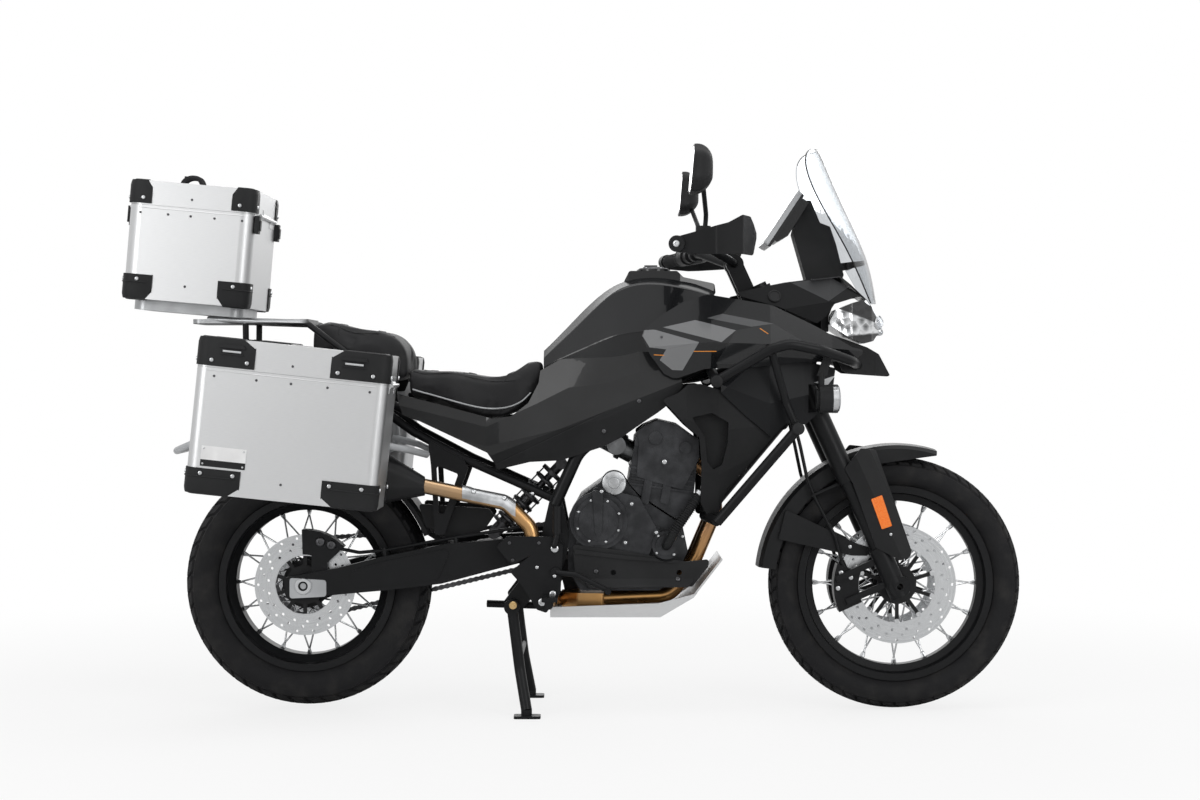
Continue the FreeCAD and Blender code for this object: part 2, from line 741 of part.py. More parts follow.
def make_front_fender():
    """The mudguard shell, cut along its lower front edge, and its arms; places are from the axle."""
    radius = float(size.front_tyre_radius) + FENDER_GAP
    half = float(size.front_tyre_width) / 2 + 11
    shell = turned_guard(radius, half, 40, FENDER_SHEET, FENDER_START, FENDER_END, 4)
    shell = shell.cut(prism([(-120, radius - 90), (110, radius - 90), (110, radius - 26), (-20, radius - 44),
                             (-52, radius - 56)], -200, 200))
    low_end, high_end = around_axle(radius - 31, 159), around_axle(radius - 13, 146)
    low_pad, high_pad = around_axle(radius - 74, 157), around_axle(radius - 58, 145)
    pieces = [shell]
    for side in SIDES:
        low, high = sorted((side * (half + 6), side * (half + 11)))
        pieces.append(prism([low_end, high_end, (-105, 107), (-68, 95), (-78, 75), (-120, 76)], low, high, 5))
        low, high = sorted((side * (half - 1), side * (half + 7)))
        pieces.append(prism([low_end, high_end, high_pad, low_pad], low, high, 5))
        low, high = sorted((side * (half + 6), side * (half + 18)))
        pieces.append(across(-68, 87, low, high, 12))
    shape = fused(pieces)
    shape.translate(FRONT_AXLE)
    placed_legs = legs.copy()
    placed_legs.Placement = STEERING
    placed_brakes = Part.makeCompound(braked)
    placed_brakes.Placement = STEERING
    return cut(shape, placed_legs, placed_brakes)


part("front_fender", make_front_fender())

# Handlebar in the machine's frame, wheels straight ahead: straight middle, rise, long sweep.
BAR_CLAMP = Vector(400, 0, 1160)
BAR_END = Vector(241, size.bar_half_width, 1190)
BAR_HALF = [(BAR_CLAMP.x, 62, BAR_CLAMP.z), (318, 170, 1198), (BAR_END.x, BAR_END.y, BAR_END.z)]
bar_points = [(x, -y, z) for x, y, z in reversed(BAR_HALF)] + BAR_HALF
bar = tube(bar_points, float(size.bar_radius), 70)
risers = []
clamp = in_steering(BAR_CLAMP)
for side in SIDES:
    post = slab([(-20, side * 26), (22, side * 26), (22, side * 52), (-20, side * 52)][::side],
                upper_yoke_top, clamp.z)
    grip = across(clamp.x, clamp.z, min(side * 24, side * 54), max(side * 24, side * 54), 23)
    risers += [post, grip]
risers = fused(risers)
risers.Placement = STEERING
part("handlebar", fused([bar, risers]))


def along_bar(start, end):
    """Points of the straight outer bar at distances in from its end."""
    inner, outer = Vector(*BAR_HALF[1]), Vector(*BAR_HALF[2])
    run = (inner - outer).normalize()
    return outer + run * start, outer + run * end


def sleeve(start, end, radius):
    first, second = along_bar(start, end)
    shell = rod(first, second, radius)
    return shell.cut(rod(*along_bar(start - 5, end + 5), size.bar_radius + size.running_fit))


grip = sleeve(4, 126, 17)
flange = sleeve(126, 131, 24)
switch_box = sleeve(134, 176, 23)
perch = sleeve(182, 206, 19)
lever_pivot = along_bar(190, 190)[0] + Vector(34, 0, -4)
lever = tube([lever_pivot, lever_pivot + Vector(12, 60, -3), lever_pivot + Vector(-40, 178, -8)], 6.5, 40)
reservoir_low = along_bar(188, 188)[0] + Vector(14, -6, 16)
reservoir = rod(reservoir_low, reservoir_low + Vector(0, 0, 34), 19)
arm = rod(along_bar(194, 194)[0] + Vector(10, 0, -2), lever_pivot, 11)
neck = rod(along_bar(191, 191)[0] + Vector(8, 0, 6), reservoir_low + Vector(0, 0, 3), 9)
room = rod(*along_bar(-5, 400), size.bar_radius + size.running_fit)
left_controls = [fused([grip, flange]), switch_box, cut(fused([perch, arm, lever, neck, reservoir]), room)]
part("hand_controls", Part.makeCompound(left_controls + [mirrored(item) for item in left_controls]))


def make_hand_guard():
    """A moulded wind deflector: a band that wraps the grip, cut to its side outline."""
    end = BAR_END
    band = [
        (end.x - 4, end.y + 16), (330, end.y + 22), (398, end.y - 22), (430, 318), (441, 262), (437, 258),
        (426, 314), (394, end.y - 28), (328, end.y + 16), (end.x - 4, end.y + 4),
    ]
    shell = slab(band, end.z - 40, end.z + 90, 12)
    outline = prism([(end.x - 12, end.z + 15), (262, 1214), (305, 1226), (360, 1242), (396, 1262),
                     (420, 1262),
                     (443, 1222), (428, 1168), (300, 1164), (end.x - 12, end.z - 20)], 0, 520, 6)
    shell = shell.common(outline)
    weight = rod(*along_bar(-float(size.seat_gap), -24), 20)
    return fused([shell, weight])


part("hand_guards", both_sides(make_hand_guard()))


def make_mirror():
    """Mirror head: a dished housing on a cranked stem from the bar."""
    foot = along_bar(234, 234)[0] + Vector(4, 0, 12)
    clamp_ring = sleeve(226, 242, 17)
    head = Vector(290, float(size.bar_half_width) - 50, 1376)
    stem = tube([foot, foot + Vector(6, 6, 64), head + Vector(14, -38, -44)], 6, 30)
    rear = [(-84, -46), (-70, 44), (-40, 60), (52, 56), (86, 34), (80, -30), (50, -58), (-50, -60)]

    def ring(x, scale, tilt):
        return rounded_path([(head.x + x + tilt * z * scale, head.y + y * scale, head.z + z * scale)
                             for y, z in rear], 18 * scale, closed=True)

    housing = loft([ring(-16, 1.0, 0.08), ring(6, 0.96, 0.06), ring(26, 0.7, 0.03), ring(34, 0.4, 0.0)])
    return fused([housing, stem, clamp_ring])


mirror = make_mirror()
part("mirrors", both_sides(mirror))

doc.recompute()


# ---------------------------------------------------------------- main frame and swingarm

spar_start = STEERING.multVec(Vector(-12, 24, 708))
SPAR = (tuple(spar_start), (330, 100, 902), (180, 120, 832), (-6, 122, 672), (-66, 122, 540))
down_start = spar_start + (Vector(330, 100, 902) - spar_start) * 0.43
DOWN_TUBE = (tuple(down_start), (412, 100, 846), (352, 120, 640), (318, 120, 520))
SHOCK_TUBE = Vector(-24, 0, 640)
PLATE_IN, PLATE_OUT = 114, 130
SIDE_STAND_PIVOT = Vector(-10, 150, 246)
SIDE_STAND_BACK = Vector(-0.985, 0.12, 0.02)
SIDE_STAND_DOWN = Vector(0.2, 0.5, -0.84)
side_stand_axis = SIDE_STAND_BACK.cross(SIDE_STAND_DOWN).normalize()


def spar(side, radius):
    return tube([(x, side * y, z) for x, y, z in SPAR], radius, 90)


def make_main_frame():
    """Head tube, two spars, two down tubes, pivot plates that also carry both stands."""
    head = rod((0, 0, lower_yoke_top + 3), (0, 0, float(size.upper_yoke_start) - 3), size.head_tube_radius)
    head.Placement = STEERING
    bore = rod((0, 0, 0), (0, 0, 1200), size.stem_radius + size.running_fit)
    bore.Placement = STEERING
    shapes = [head]
    radius = float(size.frame_tube_radius)
    for side in SIDES:
        shapes.append(spar(side, radius))
        shapes.append(tube([(x, side * y, z) for x, y, z in DOWN_TUBE], radius - 3, 80))
        low, high = sorted((side * PLATE_IN, side * PLATE_OUT))
        shapes.append(prism([(-100, 462), (-76, 566), (-50, 566), (-32, 478), (-32, 424), (-44, 384),
                             (-60, 372),
                             (-160, 260), (-188, 260), (-198, 290), (-108, 408)], low, high, 8))
    shapes.append(across(STAND_PIVOT.x, STAND_PIVOT.z, -164, 164, 10))
    shapes.append(rod((SHOCK_TUBE.x, -122, SHOCK_TUBE.z), (SHOCK_TUBE.x, 122, SHOCK_TUBE.z), 12))
    shapes.append(prism([(-46, 384), (-30, 410), (14, 262), (14, 232), (-30, 232), (-62, 372)], PLATE_IN,
                        PLATE_OUT, 6))
    pin = SIDE_STAND_PIVOT
    shapes.append(rod(pin - side_stand_axis * -24, pin - side_stand_axis * 14, 9))
    frame = fused(shapes)
    pivot_hole = across(PIVOT.x, PIVOT.z, -200, 200, 14 + float(size.seat_gap))
    return cut(frame, bore, pivot_hole)


main_frame = make_main_frame()
part("main_frame", main_frame)


ARM_PLACE = Placement(PIVOT, Rotation(Vector(0, 1, 0), -float(size.swingarm_droop)))


def make_swingarm():
    """Two box arms from the pivot tube to the axle, a bridge ahead of the tyre, axle plates."""
    length, thick = float(size.swingarm_length), float(size.arm_thickness)
    side_view = [(22, -18), (24, 22), (-150, 40), (-275, 50), (-441, 43), (94 - length, 32),
                 (-length - 48, 28),
                 (-length - 48, -28), (94 - length, -36), (-441, -44), (-303, -49), (-173, -36)]
    pad_view = [(-262, 38), (-452, 30), (124 - length, 18), (124 - length, -22), (-441, -32), (-310, -36)]
    shapes = []
    for side, inner in ((-1, float(size.arm_inner_right)), (1, float(size.arm_inner_left))):
        plan = [(26, 86), (-120, 88), (-280, inner), (-length - 50, inner), (-length - 50, inner + thick),
                (-280, inner + thick), (-120, 112), (26, 112)]
        blade = prism(side_view, -200, 200, 10).common(slab([(x, side * y) for x, y in plan], -100, 100))
        low, high = sorted((side * (inner + thick - 6), side * (inner + thick + 3)))
        shapes += [blade, prism(pad_view, low, high, 12)]
    shapes.append(prism([(-140, 34), (-140, -34), (-210, -36), (-235, 0), (-210, 34)], -100, 100, 8))
    arms = fused(shapes)
    arms.Placement = ARM_PLACE
    pivot_tube = across(PIVOT.x, PIVOT.z, -PLATE_IN + 0.3, PLATE_IN - 0.3, 27)
    bolt = [across(PIVOT.x, PIVOT.z, -139, 139, 14), across(PIVOT.x, PIVOT.z, PLATE_OUT + 0.2, 139, 22),
            across(PIVOT.x, PIVOT.z, -139, -PLATE_OUT - 0.2, 22)]
    low, high = -float(size.arm_inner_right) - thick - 4, float(size.arm_inner_left) + thick + 4
    axle = across(REAR_AXLE.x, REAR_AXLE.z, low, high, size.axle_radius)
    axle_bore = across(REAR_AXLE.x, REAR_AXLE.z, low - 1, high + 1, size.axle_bore)
    return fused([arms, pivot_tube, axle] + bolt).cut(axle_bore)


swingarm = make_swingarm()
part("swingarm", swingarm)


def make_shock_absorber():
    """Spring strut between the swingarm bridge and the frame: eyes, damper, spring coils."""
    low, high = Vector(-228, 0, 458), SHOCK_TUBE - Vector(27.3, 0, 0)
    run = (high - low).normalize()
    shapes = [rod(low, low + run * 130, 17), rod(low + run * 130, high, 9),
              rod(low + run * 30, low + run * 38, 31),
              rod(high - run * 40, high - run * 30, 31), across(low.x, low.z, -20, 20, 15),
              across(high.x, high.z, -20, 20, 15), rod(high - run * 36, high, 13)]
    coils, spring = 6, (high - low).Length - 84
    for index in range(coils):
        centre = low + run * (46 + (index + 0.2) * spring / coils)
        shapes.append(Part.makeTorus(26, 5.5, centre, run))
    for index in range(4):
        turn = index * math.pi / 2
        offset = Vector(0, math.cos(turn) * 26, 0) + run.cross(Vector(0, 1, 0)) * (math.sin(turn) * 26)
        shapes.append(rod(low + run * 34 + offset, high - run * 36 + offset, 2))
    return cut(fused(shapes), swingarm)


part("shock_absorber", make_shock_absorber())


# ---------------------------------------------------------------- engine

FRONT_SPROCKET = Vector(4, 0, 438)
SPROCKET_PITCH = 36.0
WATER_PUMP = Vector(219, -144, 437)
COVER_SCREWS = ((54, 576), (131, 543), (115, 444), (194, 470), (4, 428))


def make_crankcase():
    """Crankcase with its side covers, drive sprocket and sump."""
    outline = [(-32, 372), (-32, 500), (0, 560), (64, 606), (110, 608), (150, 560), (262, 486), (276, 420),
               (236, 338), (200, 318), (0, 318)]
    shapes = [prism(outline, -112, 112, 10)]
    shapes.append(across(46, 500, -162, -100, 62))
    shapes.append(across(46, 500, -150, -100, 74))
    shapes.append(prism([(-16, 430), (34, 588), (150, 560), (200, 470), (170, 400), (0, 400)], -138, -100,
                        14))
    shapes.append(across(86, 596, -140, -100, 32))
    shapes.append(across(WATER_PUMP.x, WATER_PUMP.z, -144, -100, 36))
    shapes.append(across(WATER_PUMP.x, WATER_PUMP.z, -150, -100, 26))
    shapes.append(across(46, 500, -166, -100, 50))
    shapes.append(prism([(30, 578), (58, 578), (54, 470), (44, 460), (38, 470)], -170, -140, 4))
    for x, z in COVER_SCREWS:
        shapes.append(across(x, z, -147, -100, 8))
    shapes.append(across(136, 430, 100, 158, 70))
    shapes.append(across(136, 430, 100, 146, 80))
    shapes.append(prism([(-18, 424), (-2, 540), (66, 560), (66, 400), (8, 380)], 100, 126, 10))
    case = fused(shapes)
    x, z = FRONT_SPROCKET.x, FRONT_SPROCKET.z
    chain_room = fused([across(x, z, SPROCKET_Y - 14, SPROCKET_Y + 11, SPROCKET_PITCH + 18),
                        prism([(x, z - 54), (x, z + 54), (x - 200, z + 40), (x - 200, z - 110)], SPROCKET_Y
                              - 14, SPROCKET_Y + 11)])
    sprocket = fused([across(x, z, SPROCKET_Y - 6, SPROCKET_Y + 6, SPROCKET_PITCH - 0.3),
                      across(x, z, 60, SPROCKET_Y + 10, 16)])
    return fused([case.cut(chain_room), sprocket])


crankcase = make_crankcase()
part("crankcase", crankcase)


HEAD_COVER = ((144, 612), (150, 700), (144, 727), (162, 741), (190, 753), (219, 752), (251, 738), (303, 702),
              (304, 660), (262, 578))
HEAD_PLUGS = ((192, 711, 17), (269, 686, 15), (215, 650, 10))


def make_cylinders():
    """Cylinder block, head and cam cover, leaning forward over the crankcase."""
    block = prism([(122, 596), (140, 700), (304, 696), (290, 560), (268, 488), (152, 564)], -118, 118, 4)
    head = prism([(138, 690), (140, 712), (166, 742), (200, 757), (252, 744), (304, 706), (304, 690)], -126,
                 126, 6)
    shapes = [block, head]
    for side in SIDES:
        low, high = sorted((side * 100, side * 129))
        shapes.append(prism(HEAD_COVER, low, high, 8))
        for x, z, radius in HEAD_PLUGS:
            low, high = sorted((side * 100, side * 134))
            shapes.append(across(x, z, low, high, radius))
        low, high = sorted((side * 100, side * 126))
        for x in (176, 226):
            shapes.append(prism([(x - 2, 650), (x + 18, 650), (x - 2, 540), (x - 22, 546)], low, high, 5))
    fins = [prism([(126, 572 + level), (126, 577 + level), (288, 553 + level), (288, 548 + level)], -124, 124)
            for level in range(20, 76, 14)]
    return fused(shapes + fins).cut(crankcase)


cylinders = make_cylinders()
part("cylinders", cylinders)


def make_intake():
    """Throttle bodies between the head and the air box."""
    shapes = []
    for y in (-48, 48):
        shapes.append(rod((137, y, 668), (44, y, 716), 27))
        shapes.append(rod((110, y, 682), (98, y, 688), 33))
        shapes.append(rod((44, y, 716), (20, y, 728), 36))
    shapes.append(rod((92, -88, 691), (92, 88, 691), 8))
    shapes.append(rod((92, -104, 691), (92, -84, 691), 24))
    shapes.append(slab([(-30, -78), (34, -78), (34, 78), (-30, 78)], 716, 770, 12))
    return cut(fused(shapes), cylinders)


part("intake", make_intake())

HEADER_Y = 46
header_path = [(300, 640), (342, 612), (350, 520), (300, 402), (234, 300), (60, 292)]
headers = []
for side in SIDES:
    pipe = tube([(x, side * HEADER_Y, z) for x, z in header_path], 19, 55)
    headers.append(pipe)
collector = slab([(64, -70), (64, 70), (-10, 60), (-50, 34), (-50, -34), (-10, -60)], 268, 306, 14)
link = tube([(-36, -10, 290), (-70, -60, 290), (-82, -154, 296), (-112, -154, 400), (-128, -152, 484),
             (-190, -150, 545),
             (-398, -168, 590)], 19, 44)
exhaust = cut(fused(headers + [collector, link]), cylinders, crankcase)
part("exhaust_pipes", exhaust)


def make_silencer():
    """Oval can rising to the rear, with its inlet cone, end cap and outlet."""
    def oval(x, y, z, half_y, half_z):
        return rounded_path([(x, y - half_y, z - half_z), (x, y + half_y, z - half_z),
                             (x, y + half_y, z + half_z), (x, y - half_y, z + half_z)],
                            min(half_y, half_z) * 0.9, closed=True)

    cone = loft([oval(-396, -168, 589.6, 24, 24), oval(-500, -174, 613, 50, 66)], ruled=True)
    can = loft([oval(-500, -174, 613, 50, 66), oval(-850, -176, 690, 50, 66)], ruled=True)
    cap = loft([oval(-850, -176, 690, 50, 66), oval(-906, -176, 702, 32, 40)], ruled=True)
    outlet = rod((-870, -178, 694), (-926, -178, 706), 22).cut(rod((-880, -178, 696), (-930, -178, 707), 18))
    shape = fused([cone, can, cap, outlet])
    return cut(shape, rod((-902, -178, 701), (-930, -178, 707), 18), exhaust)


part("silencer", make_silencer())


# ---------------------------------------------------------------- bodywork round the engine

def make_skid_plate():
    """Aluminium guard: one folded sheet under the engine with turned-up sides."""
    under = [(-78, 250), (205, 250), (290, 300), (366, 398)]
    above = [(362, 401), (287, 304), (203, 254), (-78, 254)]
    base = prism(under + above, -118, 118)
    flanks = [prism([(-78, 250), (205, 250), (290, 300), (300, 312), (200, 286), (-78, 276)],
                    min(side * 118, side * 122), max(side * 118, side * 122)) for side in SIDES]
    return cut(fused([base] + flanks), main_frame, exhaust)


part("skid_plate", make_skid_plate())



def make_belly_cover():
    """The right moulded cover beside the sump: a rolled top edge, a lower fold and one mounting boss."""
    outline = [(-20, 440), (112, 424), (172, 412), (270, 396), (330, 402), (326, 382), (286, 332), (20, 326),
               (-12, 350)]
    sheet = prism(outline, -152, -146, 8)
    fold = prism([(8, 352), (292, 352), (276, 330), (22, 326)], -152, -146, 4)
    fold.rotate(Vector(0, -149, 352), Vector(1, 0, 0), -24)
    rim = prism([(-16, 428), (112, 412), (250, 400), (250, 392), (112, 402), (-14, 416)], -157, -146, 3)
    boss = across(60, 358, -146, -112.2, 10)
    pump_room = across(WATER_PUMP.x, WATER_PUMP.z, -200, -100, 41)
    holes = [across(x, 368, -200, -140, 7) for x in (84, 252)]
    return cut(fused([sheet, rim, boss, fold]), pump_room, crankcase, *holes)


right_belly = make_belly_cover()
left_belly = mirrored(right_belly).cut(across(136, 430, 100, 200, 84))
part("belly_covers", Part.makeCompound([right_belly, left_belly]))

# Fuel tank: sections across the machine, from the seat forward.
TANK = (
    # x, heights of base, waist, shoulder and crown, then their half widths
    (-96, (872, 892, 915, 936), (58, 64, 58, 30)),
    (-40, (858, 920, 968, 992), (80, 88, 76, 36)),
    (30, (850, 950, 1036, 1062), (100, 116, 92, 44)),
    (100, (850, 975, 1092, 1110), (112, 140, 104, 50)),
    (180, (850, 985, 1108, 1126), (116, 150, 108, 52)),
    (260, (850, 985, 1098, 1118), (110, 146, 104, 50)),
    (346, (868, 975, 1072, 1090), (84, 116, 84, 44)),
)


def make_fuel_tank():
    """A lofted tank with its filler console, cap and the two pegs that seat it on the spars."""
    rings = []
    for x, heights, halves in TANK:
        right = [(x, -half, z) for z, half in zip(heights, halves)]
        left = [(x, half, z) for z, half in zip(heights, halves)]
        rings.append(rounded_path(right + left[::-1], 9, closed=True))
    console = prism([(98, 1086), (126, 1142), (250, 1142), (266, 1126), (348, 1110), (352, 1080)], -58, 58, 8)
    console = console.common(slab([(90, -40), (128, -60), (250, -60), (352, -34), (352, 34), (250, 60),
                                   (128, 60),
                                   (90, 40)], 1000, 1200, 8))
    cap = rod((190, 0, 1104), (190, 0, 1147), 44)
    pegs = [rod((200, side * 112, 836), (200, side * 92, 880), 12) for side in SIDES]
    tank = fused([loft(rings), console, cap] + pegs)
    return cut(tank, *[spar(side, float(size.frame_tube_radius) + 0.3) for side in SIDES])


fuel_tank = make_fuel_tank()
part("fuel_tank", fuel_tank)

CRASH_LOWER = [(345, 206, 500), (547, 232, 738)]
CRASH_UPPER = [(342, 246, 857), (480, 262, 938), (524, 262, 950), (604, 248, 934), (690, 180, 907),
               (716, 64, 899),
               (716, 0, 899)]


def crash_hoop():
    """The upper bar's route from one side round the nose to the other."""
    return [(x, -y, z) for x, y, z in CRASH_UPPER] + [(x, y, z) for x, y, z in reversed(CRASH_UPPER[:-1])]


def make_crash_bars():
    radius = float(size.crash_bar_radius)
    shapes = [tube(crash_hoop(), radius, 60)]
    for side in SIDES:
        shapes.append(tube([(x, side * y, z) for x, y, z in CRASH_LOWER], radius, 60))
        shapes.append(rod((331, side * 108, 893), (342, side * 246, 857), 13))
        shapes.append(rod((342, side * 240, 857), (342, side * 262, 857), 16))
        shapes.append(rod((316, side * 120, 512), (345, side * 208, 502), 12))
        shapes.append(rod((547, side * 216, 738), (547, side * 248, 738), 16))
        shapes.append(tube([(547, side * 210, 738), (520, side * 214, 800), (480, side * 240, 934)], 10, 30))
    return cut(fused(shapes), main_frame, fuel_tank)


crash_bars = make_crash_bars()
fog_lamp = fused([rod((606, 176, 812), (652, 176, 812), 36), rod((598, 176, 812), (606, 176, 812), 26),
                  rod((612, 176, 812), (612, 176, 878), 8),
                  prism([(600, 870), (626, 870), (640, 925), (620, 925)], 167, 182)])
fog_room = rod((580, 176, 812), (700, 176, 812), 38.0)
radiator_core = slab([(420, -132), (452, -132), (452, 132), (420, 132)], 612, 812, 4)
radiator_lugs = [rod((380, side * 112, height), (430, side * 112, height), 7)
                 for side in SIDES for height in (700, 790)]
tanks = [slab([(416, side * 118), (456, side * 118), (456, side * 136), (416, side * 136)], 616, 808,
              6) for side in SIDES]
radiator_core = fused([radiator_core] + radiator_lugs + tanks)
radiator_core.rotate(Vector(440, 0, 720), Vector(0, 1, 0), 20)
coolant_hose = tube([(219, -150.2, 437), (219, -168, 437), (240, -166, 475), (273, -158, 523),
                     (302, -148, 566),
                     (345, -146, 594), (404, -124, 626)], 12, 16)
radiator_core = cut(fused([radiator_core, coolant_hose]), main_frame, crankcase)
part("radiator", radiator_core)

# Side fairing: stations of the outer face from the nose back, trimmed to its side outline.
FAIRING = (
    # x, ((y, z) from the lower edge to the upper edge)
    (760, ((96, 905), (110, 930), (104, 950))),
    (640, ((142, 890), (172, 940), (160, 1000))),
    (480, ((176, 870), (222, 950), (196, 1050))),
    (330, ((184, 860), (236, 955), (196, 1075))),
    (140, ((176, 870), (206, 940), (168, 1060))),
)
FAIRING_OUTLINE = (
    (157, 968), (166, 992), (205, 1024), (258, 1056), (320, 1076), (396, 1078), (492, 1046), (598, 996),
    (695, 943), (733, 935), (700, 908), (560, 905), (440, 892), (315, 888), (240, 862), (212, 876),
    (176, 924),
)
# The lower fairing carries on from the upper one down to the fog lamp and the foot of the crash bar.
LOWER_FAIRING = (
    (352, ((186, 790), (192, 850), (180, 905))),
    (480, ((178, 700), (196, 800), (180, 915))),
    (570, ((160, 735), (176, 820), (156, 915))),
    (660, ((142, 780), (148, 845), (130, 900))),
)
LOWER_OUTLINE = (
    (357, 828), (354, 870), (440, 900), (503, 912), (570, 908), (652, 890), (646, 850), (640, 800),
    (600, 770),
    (574, 746), (524, 750), (486, 714), (419, 769),
)
fairing_boss = rod((516, 172, 806), (516, 216, 806), 6)
side_fairing = skin(FAIRING, 5, ruled=True).common(prism(FAIRING_OUTLINE, 0, 400, 8))
lower_fairing = fused([skin(LOWER_FAIRING, 4, ruled=True).common(prism(LOWER_OUTLINE, 0, 400, 5)),
                       fairing_boss]).cut(fog_room)
fairing_pair = [cut(side_fairing, crash_bars), cut(lower_fairing, crash_bars, fog_lamp)]
part("side_fairings", both_sides(Part.makeCompound(fairing_pair)))

# Radiator shroud: a skin with a duct window, whose pocket is closed inboard.
SHROUD = (
    (520, ((150, 640), (158, 700), (164, 750), (168, 800))),
    (430, ((156, 560), (172, 660), (178, 740), (176, 850))),
    (352, ((162, 500), (180, 620), (186, 730), (178, 860))),
    (270, ((150, 500), (172, 640), (184, 760), (178, 860))),
    (200, ((146, 500), (166, 640), (172, 760), (160, 860))),
)
SHROUD_OUTLINE = (
    (208, 809), (248, 826), (273, 848), (306, 850), (362, 832), (486, 722), (512, 738), (372, 582),
    (352, 520),
    (334, 494), (306, 547), (308, 643), (302, 714), (273, 739),
)
DUCT_OUTLINE = ((283, 765), (335, 776), (376, 752), (374, 700), (360, 644), (338, 632), (322, 652),
                (316, 715))
DUCT_WALL = ((276, 768), (335, 781), (381, 756), (379, 700), (364, 640), (337, 626), (317, 650), (311, 713))
DUCT_DEPTH = 38


def make_shroud():
    """The curved skin and its duct, whose floor lies 38 mm in."""
    outer = skin(SHROUD, 4, ruled=True).common(prism(SHROUD_OUTLINE, 0, 400, 6))
    duct = skin(SHROUD, DUCT_DEPTH, ruled=True).common(prism(DUCT_WALL, 0, 400, 5))
    return fused([outer, duct]).cut(prism(DUCT_OUTLINE, 153, 400, 4))


part("radiator_shrouds", both_sides(cut(make_shroud(), crash_bars, lower_fairing)))

# Nose cowl over the instrument bracket, and the cheeks beside the headlight.
COWL = (
    (752, ((62, 1040), (66, 1050), (60, 1064))),
    (640, ((128, 1000), (140, 1060), (112, 1124))),
    (520, ((168, 985), (182, 1040), (150, 1108))),
    (392, ((174, 1000), (186, 1036), (172, 1082))),
)
cowl_outline = prism([(399, 1082), (534, 1112), (664, 1127), (695, 1105), (748, 1076), (716, 1074),
                      (650, 1054),
                      (628, 1022), (604, 1004), (500, 1046), (400, 1074)], 0, 400, 6)
cowl_cheek = skin(COWL, 5, ruled=True).common(cowl_outline)
cowl_roof = prism([(530, 1106), (664, 1123), (694, 1101), (740, 1062), (742, 1066), (696, 1105), (665, 1127),
                   (529, 1110)], -200, 200)
roof_plan = slab([(590, -150), (660, -118), (745, -60), (745, 60), (660, 118), (590, 150)], 1000, 1200, 4)
cowl_roof = cowl_roof.common(roof_plan)


headlight_side = prism([(638, 1004), (656, 1040), (700, 1058), (738, 1068), (770, 1026), (783, 994),
                        (758, 960),
                        (730, 953), (688, 970)], -140, 140, 6)
headlight_plan = slab([(636, -104), (700, -98), (752, -72), (784, -30), (784, 30), (752, 72), (700, 98),
                       (636, 104)],
                      900, 1100, 10)
headlight = headlight_side.common(headlight_plan)
part("headlight", headlight)

beak_side = prism([(604, 992), (690, 962), (742, 944), (775, 926), (808, 871), (800, 868), (690, 876),
                   (600, 930)],
                  -120, 120, 4)
beak_plan = slab([(596, -88), (690, -78), (764, -54), (810, -14), (810, 14), (764, 54), (690, 78), (596, 88)],
                 800, 1100, 8)
beak_hollow = prism([(600, 984), (690, 954), (740, 937), (764, 918), (788, 872), (788, 860), (600, 860)],
                    -72, 72, 4)
beak_hollow = beak_hollow.common(slab([(590, -84), (690, -72), (757, -48), (786, -10), (786, 10), (757, 48),
                                       (690, 72), (590, 84)], 800, 1100, 6))


def make_windscreen():
    """A clear sheet curved round the nose, swept back towards its top edge."""
    def arc(x, z, half, depth, thick=4.0):
        outer = Part.Arc(Vector(x - depth, -half, z), Vector(x, 0, z), Vector(x - depth, half, z)).toShape()
        inner = Part.Arc(Vector(x - depth - thick, half, z), Vector(x - thick, 0, z),
                         Vector(x - depth - thick, -half, z)).toShape()
        near = Part.LineSegment(Vector(x - depth, half, z), Vector(x - depth - thick, half, z)).toShape()
        far = Part.LineSegment(Vector(x - depth - thick, -half, z), Vector(x - depth, -half, z)).toShape()
        return Part.Wire([outer, near, inner, far])
    return loft([arc(772, 1058, 56, 18), arc(746, 1175, 116, 52), arc(722, 1236, 138, 64),
                 arc(676, 1334, 150, 74),
                 arc(642, 1412, 128, 64), arc(620, 1457, 66, 18)])


windscreen = make_windscreen()
part("windscreen", windscreen)


def make_tower():
    """Bracket from the head tube that carries the headlight, the cowl and the display."""
    low, high = STEERING.multVec(Vector(8, 0, 670)), STEERING.multVec(Vector(26, 0, 720))
    arm = prism([(low.x, low.z), (636, 985), (636, 1040), (high.x, high.z)], -27, 27)
    lamp_plate = prism([(622, 984), (640.8, 984), (640.8, 1050), (622, 1050)], -70, 70)
    post = prism([(604, 1010), (640, 1010), (684, 1132), (664, 1212), (648, 1258), (622, 1268), (598, 1326),
                  (574, 1326),
                  (552, 1240), (584, 1128)], -38, 38, 5)
    head = rod((0, 0, 0), (0, 0, 1200), size.head_tube_radius + size.seat_gap)
    head.Placement = STEERING
    return cut(fused([arm, lamp_plate, post]), main_frame, head, headlight)


tower = make_tower().cut(windscreen)
screen_foot = fused([prism([(650, 1136), (744, 1160), (744, 1172), (650, 1160)], -22, 22),
                     rod((700, -34, 1156), (700, 34, 1156), 9)])
tower = fused([tower, screen_foot.cut(windscreen)])
part("instrument_tower", tower)
cowl = cut(fused([cowl_cheek, mirrored(cowl_cheek), cowl_roof]), tower, windscreen, headlight)
part("front_cowl", cowl)
crash_room = tube(crash_hoop(), float(size.crash_bar_radius) + 0.2, 60)
yoke_sweep = prism([(-200, 480), (138, 480), (138, 760), (-200, 760)], -160, 160)
yoke_sweep.Placement = STEERING
part("beak", cut(beak_side.common(beak_plan), beak_hollow, crash_room, yoke_sweep, tower))
dash = fused([prism([(563, 1344), (474, 1210), (488, 1201), (577, 1335)], -92, 92, 4),
              prism([(574, 1330), (492, 1206), (536, 1232), (590, 1318)], -70, 70, 5)])
part("dash_display", dash.cut(tower))


# ---------------------------------------------------------------- crash bars and fog lamps

